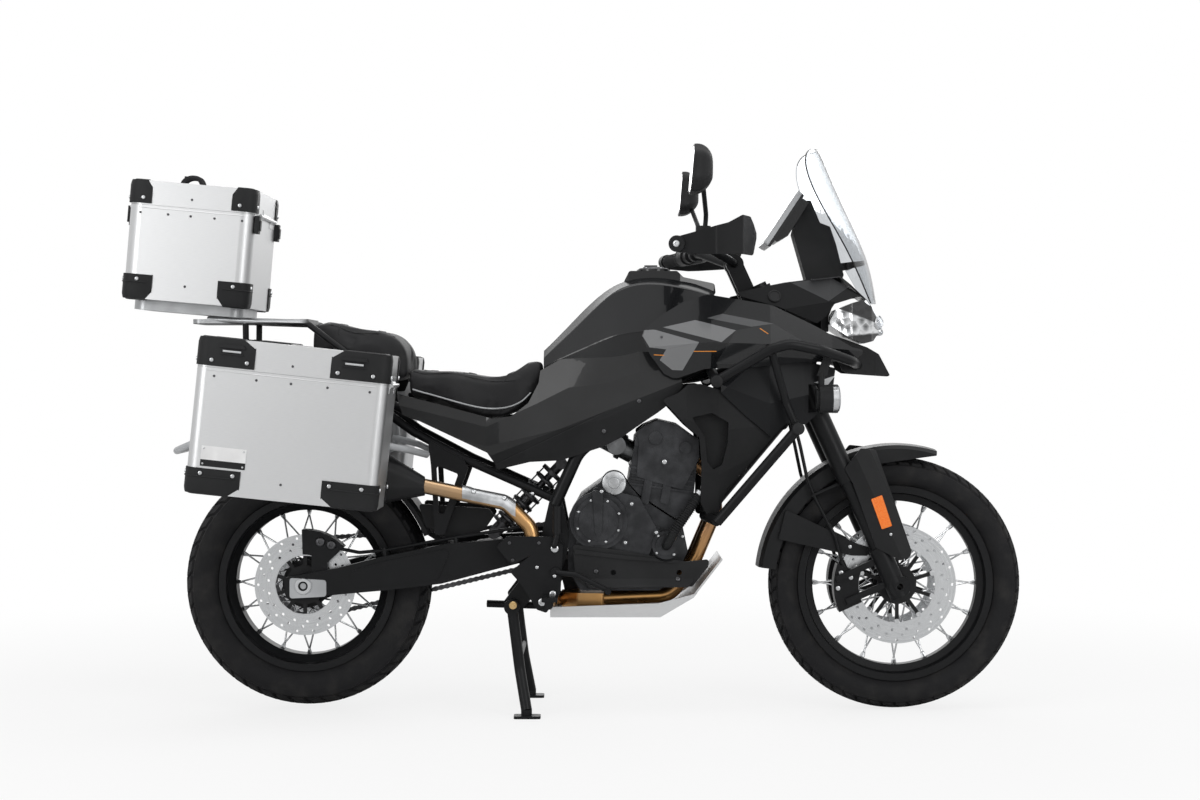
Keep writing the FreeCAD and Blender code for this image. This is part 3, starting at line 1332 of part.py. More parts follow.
part("crash_bars", crash_bars)

part("fog_lamps", both_sides(cut(fog_lamp, crash_bars, side_fairing)))


# ---------------------------------------------------------------- subframe, seats and tail

RIDER_SEAT = (
    # x, base z, top z, half width at the base, half width at the top
    (-100, 862, 906, 66, 44),
    (-130, 806, 902, 84, 58),
    (-180, 772, 868, 112, 92),
    (-240, 768, 860, 138, 124),
    (-340, 796, 874, 158, 150),
    (-436, 822, 888, 164, 152),
)
PILLION_SEAT = (
    (-438, 868, 896, 150, 138),
    (-462, 862, 956, 154, 136),
    (-510, 868, 976, 152, 128),
    (-600, 890, 990, 142, 118),
    (-690, 918, 1000, 124, 100),
)


def make_seat(sections, corner):
    return loft([hoop(x, low, high, half_low, half_high, corner) for x, low, high, half_low,
                 half_high in sections])


rider_seat = make_seat(RIDER_SEAT, 16).cut(fuel_tank)
pillion_seat = make_seat(PILLION_SEAT, 12)
part("rider_seat", rider_seat)
part("pillion_seat", pillion_seat)

BUMPERS = (
    # x, lower end, upper end, under the seats
    (-236, 738, 790), (-390, 765, 830), (-500, 806, 880), (-640, 862, 912),
)


HANGER_OUT = 7


def make_subframe():
    """Rails under the seats, struts down to the frame, cross tubes and pillion footrest hangers."""
    y, radius = float(size.rail_y), float(size.rail_radius)
    shapes = []
    for side in SIDES:
        shapes.append(tube([(44, side * (y + 3), 716), (-20, side * y, 722), (-180, side * y, 728),
                            (-430, side * y, 768), (-560, side * y, 838), (-905, side * y, 936)], radius,
                            120))
        shapes.append(tube([(-58, side * y, 549), (-290, side * y, 652), (-430, side * y, 726),
                            (-600, side * y, 848)], radius, 90))
        low, high = sorted((side * (y + HANGER_OUT), side * (y + HANGER_OUT + 8)))
        hanger = prism([(-392, 706), (-300, 656), (-288, 634), (-350, 462), (-374, 462), (-384, 640)], low,
                       high, 6)
        window = prism([(-370, 640), (-314, 618), (-350, 516), (-364, 516)], low - 1, high + 1, 6)
        shapes.append(hanger.cut(window))
        for x, low, high in BUMPERS:
            shapes.append(rod((x, side * y, low), (x, side * y, high), 9))
    for x, z in ((-180, 728), (-430, 768), (-880, 929)):
        shapes.append(rod((x, -y, z), (x, y, z), radius - 2))
    return cut(fused(shapes), rider_seat, pillion_seat, main_frame)


subframe = make_subframe()
part("rear_subframe", subframe)

# Frame covers: they carry the tank's surface on down over the spars and back under the seat.
SIDE_COVER = (
    (262, ((150, 790), (152, 850), (147, 890), (130, 960))),
    (150, ((148, 730), (152, 800), (148, 880), (126, 975))),
    (60, ((146, 680), (150, 760), (142, 850), (108, 950))),
    (-30, ((144, 640), (150, 740), (136, 840), (84, 925))),
    (-110, ((142, 625), (149, 720), (138, 800), (80, 880))),
    (-240, ((146, 625), (156, 690), (159, 740), (158, 775))),
    (-480, ((156, 700), (166, 760), (168, 800), (166, 840))),
)
SIDE_COVER_OUTLINE = (
    (262, 846), (246, 905), (200, 950), (120, 958), (40, 946), (-40, 922), (-104, 884), (-108, 852),
    (-134, 800),
    (-177, 767), (-225, 761), (-350, 795), (-470, 826), (-452, 770), (-410, 755), (-238, 674), (-218, 645),
    (-213, 630), (-129, 650), (-49, 654), (60, 690), (110, 716), (151, 745), (200, 778), (236, 806),
)
tail_stations = (
    (-440, ((126, 800), (152, 850), (160, 866))),
    (-700, ((124, 850), (142, 890), (136, 932))),
    (-960, ((122, 920), (128, 945), (124, 972))),
)
tail_outline = prism([(-474, 828), (-462, 860), (-520, 866), (-700, 914), (-700, 930), (-940, 972),
                      (-958, 950),
                      (-700, 866), (-560, 826)], 0, 400, 6)
tail_side = skin(tail_stations, 4).common(tail_outline)
cover_bosses = [rod((x, 110, z), (x, 149, z), 9) for x, z in ((60, 729), (150, 806))]
cover_skin = skin(SIDE_COVER, 4, ruled=True).common(prism(SIDE_COVER_OUTLINE, 0, 400, 5))
side_cover = cut(fused([cover_skin] + cover_bosses), main_frame, fuel_tank, rider_seat, crankcase, subframe)
part("side_covers", both_sides(side_cover))


def make_plate_carrier():
    """Rear mudguard with the tail lamp, the blank plate and two indicators."""
    spine = prism([(-868, 930), (-868, 950), (-960, 956), (-986, 940), (-970, 880), (-992, 704), (-984, 700),
                   (-954, 880), (-900, 920)], -40, 40, 4)
    lamp = prism([(-965, 952), (-988, 948), (-978, 918), (-958, 912)], -70, 70, 6)
    plate = prism([(-972, 862), (-993, 700), (-997, 700), (-976, 862)], -110, 110)
    stalks = fused([rod((-962, -120, 890), (-962, 120, 890), 6)] +
                   [rod((-962, side * 112, 890), (-962, side * 150, 890), 15) for side in SIDES])
    return cut(fused([spine, lamp, plate, stalks]), subframe)


part("plate_carrier", make_plate_carrier())


def make_hugger():
    """Inner rear mudguard over the tyre, carried by the swingarm, with the chain guard."""
    radius = float(size.rear_tyre_radius) + 30
    half = float(size.rear_tyre_width) / 2 + 8
    shell = turned_guard(radius, half, 16, 4, 22, 96, 4)
    ends = [around_axle(radius - 3, 23.5), around_axle(radius - 14, 21.8)]
    top, foot = [(REAR_AXLE.x + x, REAR_AXLE.z + z) for x, z in ends]
    arm = [ARM_PLACE.multVec(Vector(x, 0, z)) for x, z in ((-235, 16.5), (-206, 8), (-206, -2), (-243, 3.6))]
    tongue = prism([top] + [(corner.x, corner.z) for corner in arm] + [foot], -50, 50)
    plates = []
    for side in SIDES:
        low, high = sorted((side * (half - 4), side * half))
        plates.append(prism([(291, 209), (474, 196), (488, 178), (461, 139), (381, 114), (311, 149)], low,
                            high, 8))
    guard = fused([shell] + plates)
    guard.translate(REAR_AXLE)
    return cut(fused([guard, tongue]), swingarm)


part("rear_hugger", make_hugger())


# ---------------------------------------------------------------- luggage

def make_lid_hinge(split, gap, middle, half):
    """A butt hinge on the case front: end knuckles and pin on the case, the middle knuckle on the lid."""
    x, z = float(size.hinge_ahead), split + gap / 2
    knuckle, pin = float(size.knuckle_radius), float(size.hinge_pin_radius)
    shared, leaf, tall = half * 0.45, 1.6, 20
    case_leaf = [across(x, z, middle - half, middle + half, pin)]
    for side in SIDES:
        low, high = sorted((middle + side * (shared + 0.5), middle + side * half))
        case_leaf.append(across(x, z, low, high, knuckle))
        case_leaf.append(prism([(0, z - tall), (leaf, z - tall), (leaf, z - 9), (x, z - knuckle), (x, z),
                                (0, z - 3)],
                               low, high))
    lid_leaf = fused([
        across(x, z, middle - shared, middle + shared, knuckle),
        prism([(0, z + tall), (leaf, z + tall), (leaf, z + 9), (x, z + knuckle), (x, z), (0, z + 3)],
              middle - shared, middle + shared),
    ])
    lid_leaf = lid_leaf.cut(across(x, z, middle - half, middle + half, pin + float(size.running_fit)))
    return fused(case_leaf), lid_leaf


def make_case(length, width, height, lid_height, corner_radius, start_y=0.0):
    """An open box with its lid, lower front edge at the origin, from start_y outward, opening upward."""
    length, width, height, lid_height, start_y = (float(v) for v in (length, width, height, lid_height,
                                                                     start_y))
    wall, gap = float(size.case_wall), float(size.lid_gap)
    split = height - lid_height

    def block(inset, low, high):
        near, far = start_y + inset, start_y + width - inset
        points = [(-length + inset, near), (-inset, near), (-inset, far), (-length + inset, far)]
        return slab(points, low, high, corner_radius - inset if inset < corner_radius else 1)

    box = block(0, 0, split).cut(block(wall, wall, height))
    lid = block(0, split + gap, height).cut(block(wall, split - 1, height - wall))
    box_leaf, lid_leaf = make_lid_hinge(split, gap, start_y + width / 2, width * 0.32)
    return fused([box, box_leaf]), fused([lid, lid_leaf])


pannier_corner = Vector(-489, 0, 546)


for side, name in ((-1, "right"), (1, "left")):
    box, lid = make_case(size.pannier_length, size.pannier_depth, size.pannier_height, size.pannier_lid, 26,
                         size.pannier_inner_y)
    case_place = Placement(pannier_corner, Rotation(Vector(0, 1, 0), float(size.pannier_tilt)))
    for shape, label in ((box, f"{name}_pannier"), (lid, f"{name}_pannier_lid")):
        part(label, shape if side > 0 else mirrored(shape), case_place)

top_corner = Vector(-845, 0, 1042)
top_box, top_lid = make_case(size.top_case_length, size.top_case_width, size.top_case_height,
                             size.top_case_lid, 34,
                             size.top_case_width / -2)
top_place = Placement(top_corner, Rotation(Vector(0, 1, 0), float(size.top_case_tilt)))
part("top_case", top_box, top_place)
part("top_case_lid", top_lid, top_place)


def make_top_rack():
    """Grab rails, rack plate and the adapter the top case clips to."""
    shapes = []
    for side in SIDES:
        shapes.append(tube([(-600, side * 108, 856), (-580, side * 158, 916), (-700, side * 140, 1006),
                            (-830, side * 118, 1010),
                            (-960, side * 90, 1016)], 8, 40))
        shapes.append(rod((-860, side * 110, 1008), (-860, side * 104, 926), 8))
    plate = slab([(-1000, -100), (-700, -112), (-700, 112), (-1000, 100)], 1004, 1016, 20)
    window = slab([(-840, -70), (-730, -76), (-730, 76), (-840, 70)], 990, 1040, 14)
    shapes.append(plate.cut(window))
    adapter = slab([(-300, -135), (-20, -135), (-20, 135), (-300, 135)], -26, -0.2, 30)
    adapter.Placement = top_place
    shapes.append(adapter)
    return cut(fused(shapes), subframe, pillion_seat)


top_rack = make_top_rack()
part("top_rack", top_rack)


def make_pannier_frame():
    """Tube loops that carry the side cases, tied to the subframe and to each other at the rear."""
    shapes = []
    radius = 9
    y = float(size.pannier_inner_y) - radius - 0.3
    for side in SIDES:
        loop = [(-500, side * y, 660), (-520, side * y, 860), (-900, side * y, 905), (-930, side * y, 680),
                (-880, side * y, 640)]
        shapes.append(tube(loop, radius, 50, closed=True))
        shapes.append(tube([(-395, side * 116, 668), (-440, side * 190, 684), (-512, side * y, 700)], radius,
                           40))
        shapes.append(rod((-700, side * 112, 884), (-700, side * y, 884), radius))
    shapes.append(tube([(-926, -y, 720), (-1024, -y + 40, 680), (-1030, 0, 680), (-1024, y - 40, 680),
                        (-926, y, 720)], radius, 50))
    return cut(fused(shapes), subframe)


pannier_frame = make_pannier_frame()
part("pannier_frame", pannier_frame)
tail_panel = cut(tail_side, top_rack, pannier_frame, subframe)
part("tail_panels", both_sides(tail_panel))


# ---------------------------------------------------------------- footrests, chain, brakes, stands

def make_footrests():
    """Hanger plates bolted outside the pivot, folding pegs, brake pedal and gear lever."""
    shapes = []
    for side in SIDES:
        inner = float(size.footrest_plate_y)
        low, high = sorted((side * inner, side * (inner + 8)))
        plate = prism([(-80, 458), (-44, 440), (-50, 320), (-86, 268), (-110, 276), (-150, 340), (-178, 372),
                       (-120, 420)], low, high, 6)
        heel = prism([(-213, 436), (-187, 463), (-74, 462), (-60, 448), (-171, 392), (-183, 400)], low, high,
                     6)
        peg = rod((-78, side * (inner + 6), 298), (-78, side * (inner + 104), 298), 11)
        tread_low, tread_high = sorted((side * (inner + 14), side * (inner + 106)))
        tread = prism([(-96, 305), (-96, 316), (-56, 316), (-56, 305)], tread_low, tread_high, 3)
        spacer_low, spacer_high = sorted((side * 139.2, side * (inner + 1)))
        spacer = across(PIVOT.x, PIVOT.z, spacer_low, spacer_high, 16)
        pedal = tube([(-62, side * (inner + 17), 372), (-10, side * (inner + 17), 366),
                      (70, side * (inner + 24), 326)], 7, 30)
        pad_end = rod((70, side * (inner + 12), 326), (70, side * (inner + 46), 326), 8)
        pivot = rod((-62, side * (inner + 6), 372), (-62, side * (inner + 20), 372), 12)
        near = side * (inner + 16)
        cylinder = [rod((-66, near, 440), (-58, near, 470), 8), rod((-58, near, 470), (-58, near, 540), 12)]
        bracket = across(-66, 440, min(side * inner, near), max(side * inner, near), 8)
        extras = cylinder + [bracket] if side < 0 else []
        shapes.append(fused([plate, heel, peg, tread, spacer, pedal, pad_end, pivot] + extras))
    return Part.makeCompound(shapes)


part("footrests", make_footrests())


def make_chain():
    """The drive chain as one band round both sprockets."""
    front = FRONT_SPROCKET
    rear = REAR_AXLE
    half, inner_front, inner_rear, depth = 9, SPROCKET_PITCH, SPROCKET_RADIUS + 2, 11

    def belt(front_radius, rear_radius, low, high):
        run = (rear - front)
        angle = math.asin((rear_radius - front_radius) / run.Length)
        along = run.normalize()
        normal = Vector(-along.z, 0, along.x)
        if normal.z < 0:
            normal = normal * -1
        tilt = along * -math.sin(angle)
        top = normal * math.cos(angle) + tilt
        bottom = normal * -math.cos(angle) + tilt
        points = [front + top * front_radius, rear + top * rear_radius, rear + bottom * rear_radius, front
                  + bottom * front_radius]
        core = Part.Face(Part.makePolygon([Vector(p.x, low, p.z) for p in points
                                           + points[:1]])).extrude(Vector(0, high - low, 0))
        return fused([core, across(front.x, front.z, low, high, front_radius),
                      across(rear.x, rear.z, low, high, rear_radius)])

    outer = belt(inner_front + depth, inner_rear + depth, SPROCKET_Y - half, SPROCKET_Y + half)
    inner = belt(inner_front, inner_rear, SPROCKET_Y - half - 1, SPROCKET_Y + half + 1)
    return outer.cut(inner)


part("drive_chain", make_chain())

rear_caliper = make_caliper(0, size.rear_disc_radius, size.rear_disc_y, 68, 24, -1, 17, 26)
rear_caliper.translate(REAR_AXLE)
bracket_low = -float(size.arm_inner_right) - 17
caliper_bracket = prism([(20, 20), (20, 96), (62, 96), (60, 20)], 0, 17)
caliper_bracket.translate(Vector(REAR_AXLE.x, bracket_low, REAR_AXLE.z))
# The rear brake hose lies along the top of the right arm, in the arm's own frame, held by two clips.
REAR_HOSE = ((-612, -104, 96), (-560, -114, 84), (-500, -114, 62), (-436, -114, 58), (-250, -114, 62),
             (-110, -112, 62),
             (-70, -118, 64))
rear_hose = [tube(REAR_HOSE, HOSE_RADIUS, 30)]
rear_hose += [rod((x, -114, 36), (x, -114, 64), 6) for x in (-436, -250)]
rear_hose = fused(rear_hose)
rear_hose.Placement = ARM_PLACE
part("rear_caliper", cut(fused([rear_caliper, caliper_bracket, rear_hose]), swingarm, main_frame))


def make_centre_stand():
    """Two legs from the pivot tube to splayed feet, a cross brace and the tread lever."""
    radius = float(size.stand_tube_radius)
    leg = float(size.stand_leg_y)
    x, z = STAND_PIVOT.x, STAND_PIVOT.z
    shapes = []
    for side in SIDES:
        shapes.append(tube([(x, side * leg, z), (x + 20, side * leg, 120),
                            (x + 38, side * (leg + 28), radius + 6)], radius, 80))
        shapes.append(slab([(x + 6, side * (leg + 8)), (x + 74, side * (leg + 8)),
                            (x + 74, side * (leg + 52)), (x + 6, side * (leg + 52))][::side],
                           0, 7, 8))
        shapes.append(rod((x + 38, side * (leg + 28), 5), (x + 38, side * (leg + 28), radius + 8), radius))
        shapes.append(across(x, z, min(side * (leg - 14), side * (leg + 14)),
                             max(side * (leg - 14), side * (leg + 14)), 20))
    shapes.append(rod((x + 16, -leg, 150), (x + 16, leg, 150), 11))
    stand = fused(shapes)
    return stand.cut(across(x, z, -300, 300, 10 + float(size.running_fit)))


part("centre_stand", make_centre_stand())

def make_side_stand():
    """Side stand folded back along the left side, on its canted pivot bolt."""
    pin, back = SIDE_STAND_PIVOT, SIDE_STAND_BACK
    outward = Vector(0, 1, 0)
    length = float(size.side_stand_length)
    tip = pin + back * length + outward * 14
    shapes = [rod(pin - side_stand_axis * 12, pin - side_stand_axis * -12, 16),
              tube([pin + back * 6, pin + back * 60 + outward * 12, tip], 10, 60)]
    foot = slab([(-26, -18), (22, -18), (22, 18), (-26, 18)], -5, 4, 6)
    foot.Placement = Placement(tip, Rotation(Vector(0, 0, 1), SIDE_STAND_DOWN * 1.0).inverted())
    stand = fused(shapes)
    return stand.cut(rod(pin - side_stand_axis * 40, pin + side_stand_axis * 40, 9 + float(size.running_fit)))


part("side_stand", make_side_stand())

doc.recompute()


# ---------------------------------------------------------------- checks and files

KINDS = ("PartDesign::Body", "Part::Feature", "Part::MultiFuse", "Part::Compound", "Part::Cut")


def sub_parts():
    return [item for item in doc.Objects if item.TypeId in KINDS and item.Name not in inner_pieces]


for item in doc.Objects:
    if "Invalid" in item.State or "Error" in item.State:
        raise RuntimeError(f"{item.Name} failed: {item.State}")
for item in sub_parts():
    if item.Shape.isNull() or not item.Shape.isValid():
        raise RuntimeError(f"{item.Name} has no valid shape")

os.makedirs("parts", exist_ok=True)
for item in sub_parts():
    item.Shape.exportStep(os.path.join("parts", f"{item.Label}.step"))
print(len(sub_parts()), "sub-parts written")
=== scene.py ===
# %% [markdown]
# # An adventure motorcycle in cells
# The machine is built from painted plastic, powder-coated tube, cast alloy, brushed sheet and rubber.
# The frame brings every structural part at its real size and place, and nothing here moves or resizes it.
# What this notebook adds is the finish of each surface and the small pieces that a maker fits last.

import json
import math
from functools import reduce

import bmesh
import bpy
from mathutils import Matrix, Vector

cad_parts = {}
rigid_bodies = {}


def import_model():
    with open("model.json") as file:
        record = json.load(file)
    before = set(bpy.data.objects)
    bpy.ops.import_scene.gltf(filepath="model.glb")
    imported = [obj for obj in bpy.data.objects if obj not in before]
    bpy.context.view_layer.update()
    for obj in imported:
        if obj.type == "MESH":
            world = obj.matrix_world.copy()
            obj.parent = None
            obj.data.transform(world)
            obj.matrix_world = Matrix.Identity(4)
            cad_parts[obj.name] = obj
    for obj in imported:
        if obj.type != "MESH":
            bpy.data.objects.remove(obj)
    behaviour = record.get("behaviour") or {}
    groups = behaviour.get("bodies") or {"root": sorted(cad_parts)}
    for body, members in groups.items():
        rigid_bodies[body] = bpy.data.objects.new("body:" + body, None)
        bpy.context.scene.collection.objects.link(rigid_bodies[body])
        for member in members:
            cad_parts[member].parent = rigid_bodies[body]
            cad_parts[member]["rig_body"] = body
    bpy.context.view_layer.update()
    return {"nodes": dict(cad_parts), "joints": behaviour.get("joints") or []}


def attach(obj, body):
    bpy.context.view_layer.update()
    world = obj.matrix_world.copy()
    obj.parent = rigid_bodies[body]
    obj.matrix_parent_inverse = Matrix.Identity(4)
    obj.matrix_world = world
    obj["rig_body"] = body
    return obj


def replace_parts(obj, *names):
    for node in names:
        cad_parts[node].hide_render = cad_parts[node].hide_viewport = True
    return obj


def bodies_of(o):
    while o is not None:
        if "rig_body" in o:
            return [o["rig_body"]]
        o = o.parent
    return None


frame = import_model()
nodes = frame["nodes"]
axles = {joint["name"]: joint["pos_m"] for joint in frame["joints"]}
front_axle, rear_axle = axles["front_wheel_spin"], axles["rear_wheel_spin"]

# %% [markdown]
# ## Writing shaders as sums
# A shader is arithmetic on fields that vary over a surface, so it reads best as arithmetic.
# `Field` wraps one output socket and turns `+`, `-`, `*` and `**` into Math nodes.
# `Tree` has the one method that adds any other node, and `Finish` is the tree of one material.

# %% A field: one socket that behaves like a number


def operator(operation, reflected=False):
    """A field's method that adds one Math node; the reflected kind puts the other value first."""
    def method(field, other):
        return field.home.math(operation, *((other, field) if reflected else (field, other)))
    return method


class Field:
    """An output socket of a node tree, with the operators that add Math nodes."""

    __add__, __radd__ = operator("ADD"), operator("ADD", True)
    __sub__, __rsub__ = operator("SUBTRACT"), operator("SUBTRACT", True)
    __mul__, __rmul__ = operator("MULTIPLY"), operator("MULTIPLY", True)
    __pow__ = operator("POWER")

    def __init__(self, home, socket):
        self.home = home
        self.socket = socket

    def __abs__(self):
        return self.math("ABSOLUTE")

    def math(self, operation, *others):
        return self.home.math(operation, self, *others)

    def clamped(self):
        """Held between 0 and 1."""
        return self.math("MAXIMUM", 0.0).math("MINIMUM", 1.0)

    def step(self, start, end):
        """0 before start, 1 after end, and a smooth rise between."""
        return self.home.node("ShaderNodeMapRange", {"interpolation_type": "SMOOTHSTEP"},
                              {"Value": self, "From Min": start, "From Max": end})

    def between(self, low, high, soft):
        """1 where the field lies between two values, with soft ends."""
        return self.step(low - soft, low + soft) * (1 - self.step(high - soft, high + soft))


def any_of(masks):
    """1 where any of the masks is 1."""
    return reduce(lambda one, other: one.math("MAXIMUM", other), masks)


print("a field adds its own Math nodes")

# %% A tree of nodes, and the fields that many finishes share


class Tree:
    """A node tree with one method that adds nodes, and shortcuts for common fields."""

    def __init__(self, tree):
        self.tree = tree

    def put(self, socket, value):
        """Links a field to an input socket, or writes a plain number or colour on it."""
        if isinstance(value, Field):
            self.tree.links.new(value.socket, socket)
        elif socket.type == "RGBA":
            socket.default_value = (*value, 1.0)
        else:
            socket.default_value = value

    def node(self, kind, settings=None, inputs=None, outlet=0):
        """Adds any node: its settings first, then the values or links of its sockets."""
        made = self.tree.nodes.new(kind)
        for key, value in (settings or {}).items():
            if key == "stops":
                ramp = made.color_ramp
                while len(ramp.elements) < len(value):
                    ramp.elements.new(0.5)
                for element, (position, colour) in zip(ramp.elements, value):
                    element.position = position
                    element.color = (*colour, 1.0)
            else:
                setattr(made, key, value)
        for key, value in (inputs or {}).items():
            self.put(made.inputs[key], value)
        return Field(self, made.outputs[outlet])

    def math(self, operation, *values):
        return self.node("ShaderNodeMath", {"operation": operation}, dict(enumerate(values)))

    def place(self):
        """The rest position on the object, in metres."""
        return self.node("ShaderNodeTexCoord", outlet="Object")

    def axes(self):
        place = self.place()
        return [self.node("ShaderNodeSeparateXYZ", None, {0: place}, outlet) for outlet in range(3)]

    def reach(self, axle):
        """The distance from an axle that runs across the machine."""
        x, _, z = self.axes()
        return ((x - axle[0]) ** 2.0 + (z - axle[2]) ** 2.0) ** 0.5

    def noise(self, scale, detail=3.0, vector=None):
        """Soft noise from 0 to 1."""
        return self.node("ShaderNodeTexNoise", None,
                         {"Vector": vector or self.place(), "Scale": scale, "Detail": detail})

    def cells(self, scale):
        return self.node("ShaderNodeTexVoronoi", None, {"Vector": self.place(), "Scale": scale})

    def mix(self, factor, low, high):
        """A colour between two colours or colour fields."""
        return self.node("ShaderNodeMix", {"data_type": "RGBA"}, {0: factor, 6: low, 7: high}, 2)


print("a tree has one method for every other node")

# %% A finish: one material and its shader
DULL_SPECULAR = 0.17


class Finish(Tree):
    """A material with a Principled shader; each setter returns the finish, so that they chain."""

    def __init__(self, name, colour, roughness, metallic=0.0):
        self.name, self.material = name, bpy.data.materials.new(name)
        self.material.use_nodes = True
        super().__init__(self.material.node_tree)
        self.shader = self.tree.nodes["Principled BSDF"]
        self.set("Base Color", colour).set("Roughness", roughness).set("Metallic", metallic)
        self.set("Specular IOR Level", DULL_SPECULAR)

    def set(self, name, value):
        self.put(self.shader.inputs[name], value)
        return self

    def bump(self, height, strength, distance):
        return self.set("Normal", self.node("ShaderNodeBump", None, {
            "Strength": strength, "Distance": distance, "Height": height}))

    def surface(self, factor, low, high, roughness, height, strength, distance):
        """The usual three: a colour between two, a roughness that varies, and a bump."""
        self.set("Base Color", self.mix(factor, low, high)).set("Roughness", roughness)
        return self.bump(height, strength, distance)


def shade(colour, factor, lift=0.0):
    """A colour made lighter or darker."""
    return [channel * factor + lift for channel in colour]


print("a finish starts from specular level", DULL_SPECULAR)

# %% [markdown]
# ## Painted and moulded finishes
# Gloss panels on the real machine have a deep clear coat over black, with a trace of orange peel.
# Satin mouldings carry a fine spark-eroded grain that kills the highlight.
# Both start from one dark colour, and only the coat and the bump tell them apart.

# %% Gloss paint and grained plastic


def gloss_paint(name, colour):
    finish = Finish(name, colour, 0.22)
    finish.set("Coat Weight", 0.46 + 0.08 * finish.noise(3.0)).set("Coat Roughness", 0.03)
    return finish.surface(finish.noise(2400.0, 1.0).step(0.45, 0.75), colour, shade(colour, 1.9, 0.006),
                          0.2 + 0.08 * finish.noise(9.0), finish.noise(55.0, 2.0), 0.05, 0.002)


def satin_plastic(name, colour, roughness, grain=1500.0, depth=0.22):
    finish = Finish(name, colour, roughness)
    cloud = finish.noise(7.0, 4.0).step(0.3, 0.75)
    return finish.surface(cloud, shade(colour, 0.85), shade(colour, 1.25, 0.002),
                          roughness - 0.05 + 0.12 * finish.noise(21.0), finish.cells(grain), depth, 0.0004)


print("paint and plastic ready")

# %% [markdown]
# ## Metals
# Powder coat is a thick soft paint, so its grain is rounded and its colour even.
# Casting is rough because the mould was sand or a worn die, and it darkens in the hollows.
# Brushed sheet has long fine scratches in one direction, which spread the highlight across them.

# %% Powder coat, casting and brushed metal


def powder_coat(name, colour, roughness=0.36):
    finish = Finish(name, colour, roughness, 0.15)
    return finish.surface(finish.noise(14.0), shade(colour, 0.8), shade(colour, 1.3),
                          roughness - 0.04 + 0.1 * finish.noise(30.0), finish.noise(700.0, 2.0), 0.16, 0.0006)


def cast_metal(name, colour, roughness, metallic):
    finish = Finish(name, colour, roughness, metallic)
    grime = finish.noise(26.0, 5.0).step(0.3, 0.8)
    return finish.surface(grime, shade(colour, 0.62), shade(colour, 1.22),
                          roughness + 0.18 * (finish.noise(60.0) - 0.5), finish.noise(420.0, 3.0), 0.3, 0.0009)


def brushed_metal(name, colour, roughness, stretch=(2.0, 60.0, 60.0), depth=0.12):
    """Scratches run along the axis whose stretch is small."""
    finish = Finish(name, colour, roughness, 1.0)
    drawn = finish.node("ShaderNodeVectorMath", {"operation": "MULTIPLY"}, {0: finish.place(), 1: stretch})
    scratches = finish.noise(30.0, 4.0, drawn)
    varied = roughness - 0.06 + 0.12 * scratches + 0.06 * finish.noise(3.5, 2.0)
    return finish.surface(scratches, shade(colour, 0.86), shade(colour, 1.06), varied, scratches, depth, 0.0004)


print("metals ready")

# %% [markdown]
# ## Rubber, glass and lamps
# Tyre rubber is dark and dull, and its flanks carry fine moulded rings about the axle.
# Screens and lenses are clear, so their colour sits on the shader and light passes through.

# %% Rubber and clear parts


def tyre_rubber(name, axle, low, high):
    """Rubber with concentric rings in the flank, between two distances from the axle."""
    finish = Finish(name, (0.014, 0.014, 0.015), 0.72)
    reach, dust = finish.reach(axle), finish.noise(18.0, 5.0)
    rings = (reach * 900.0).math("SINE") * reach.between(low, high, 0.004)
    return finish.surface(dust.step(0.4, 0.85), (0.011, 0.011, 0.012), (0.03, 0.029, 0.028), 0.62 + 0.22 * dust,
                          rings * 0.4 + finish.noise(900.0, 2.0), 0.2, 0.0007)


def rubber(name, colour):
    finish = Finish(name, colour, 0.7)
    return finish.set("Roughness", 0.62 + 0.16 * finish.noise(40.0)).bump(finish.cells(900.0), 0.3, 0.0006)


def clear(name, colour, roughness):
    finish = Finish(name, colour, roughness).set("Transmission Weight", 1.0).set("IOR", 1.45)
    return finish.set("Roughness", roughness + 0.02 * finish.noise(4.0))


def lens(name, colour, rib_size=0.004, glow=0.0):
    """A moulded lamp lens: ribbed, glossy and coloured through."""
    finish = Finish(name, colour, 0.12).set("Coat Weight", 0.8)
    if glow:
        finish.set("Emission Color", colour).set("Emission Strength", glow)
    ribs = finish.cells(1.0 / rib_size)
    bright = [min(1.0, channel) for channel in shade(colour, 1.5, 0.02)]
    return finish.surface(ribs.step(0.1, 0.8), colour, bright, 0.12, ribs, 0.5, 0.002)


print("rubber and glass ready")

# %% [markdown]
# ## One finish for each kind of surface
# The table below is most of the palette of the machine.
# Blacks differ on purpose: gloss, satin, powder coat and rubber are told apart by how they break up light.

# %% The palette
PANEL, PAINT = (0.0085, 0.0088, 0.0094), (0.0085, 0.009, 0.010)
EVEN = (30.0, 30.0, 30.0)
palette = {}


def keep(*finishes):
    """Files finishes in the palette, each under its own name."""
    palette.update({finish.name: finish for finish in finishes})
    print("finishes", len(palette))


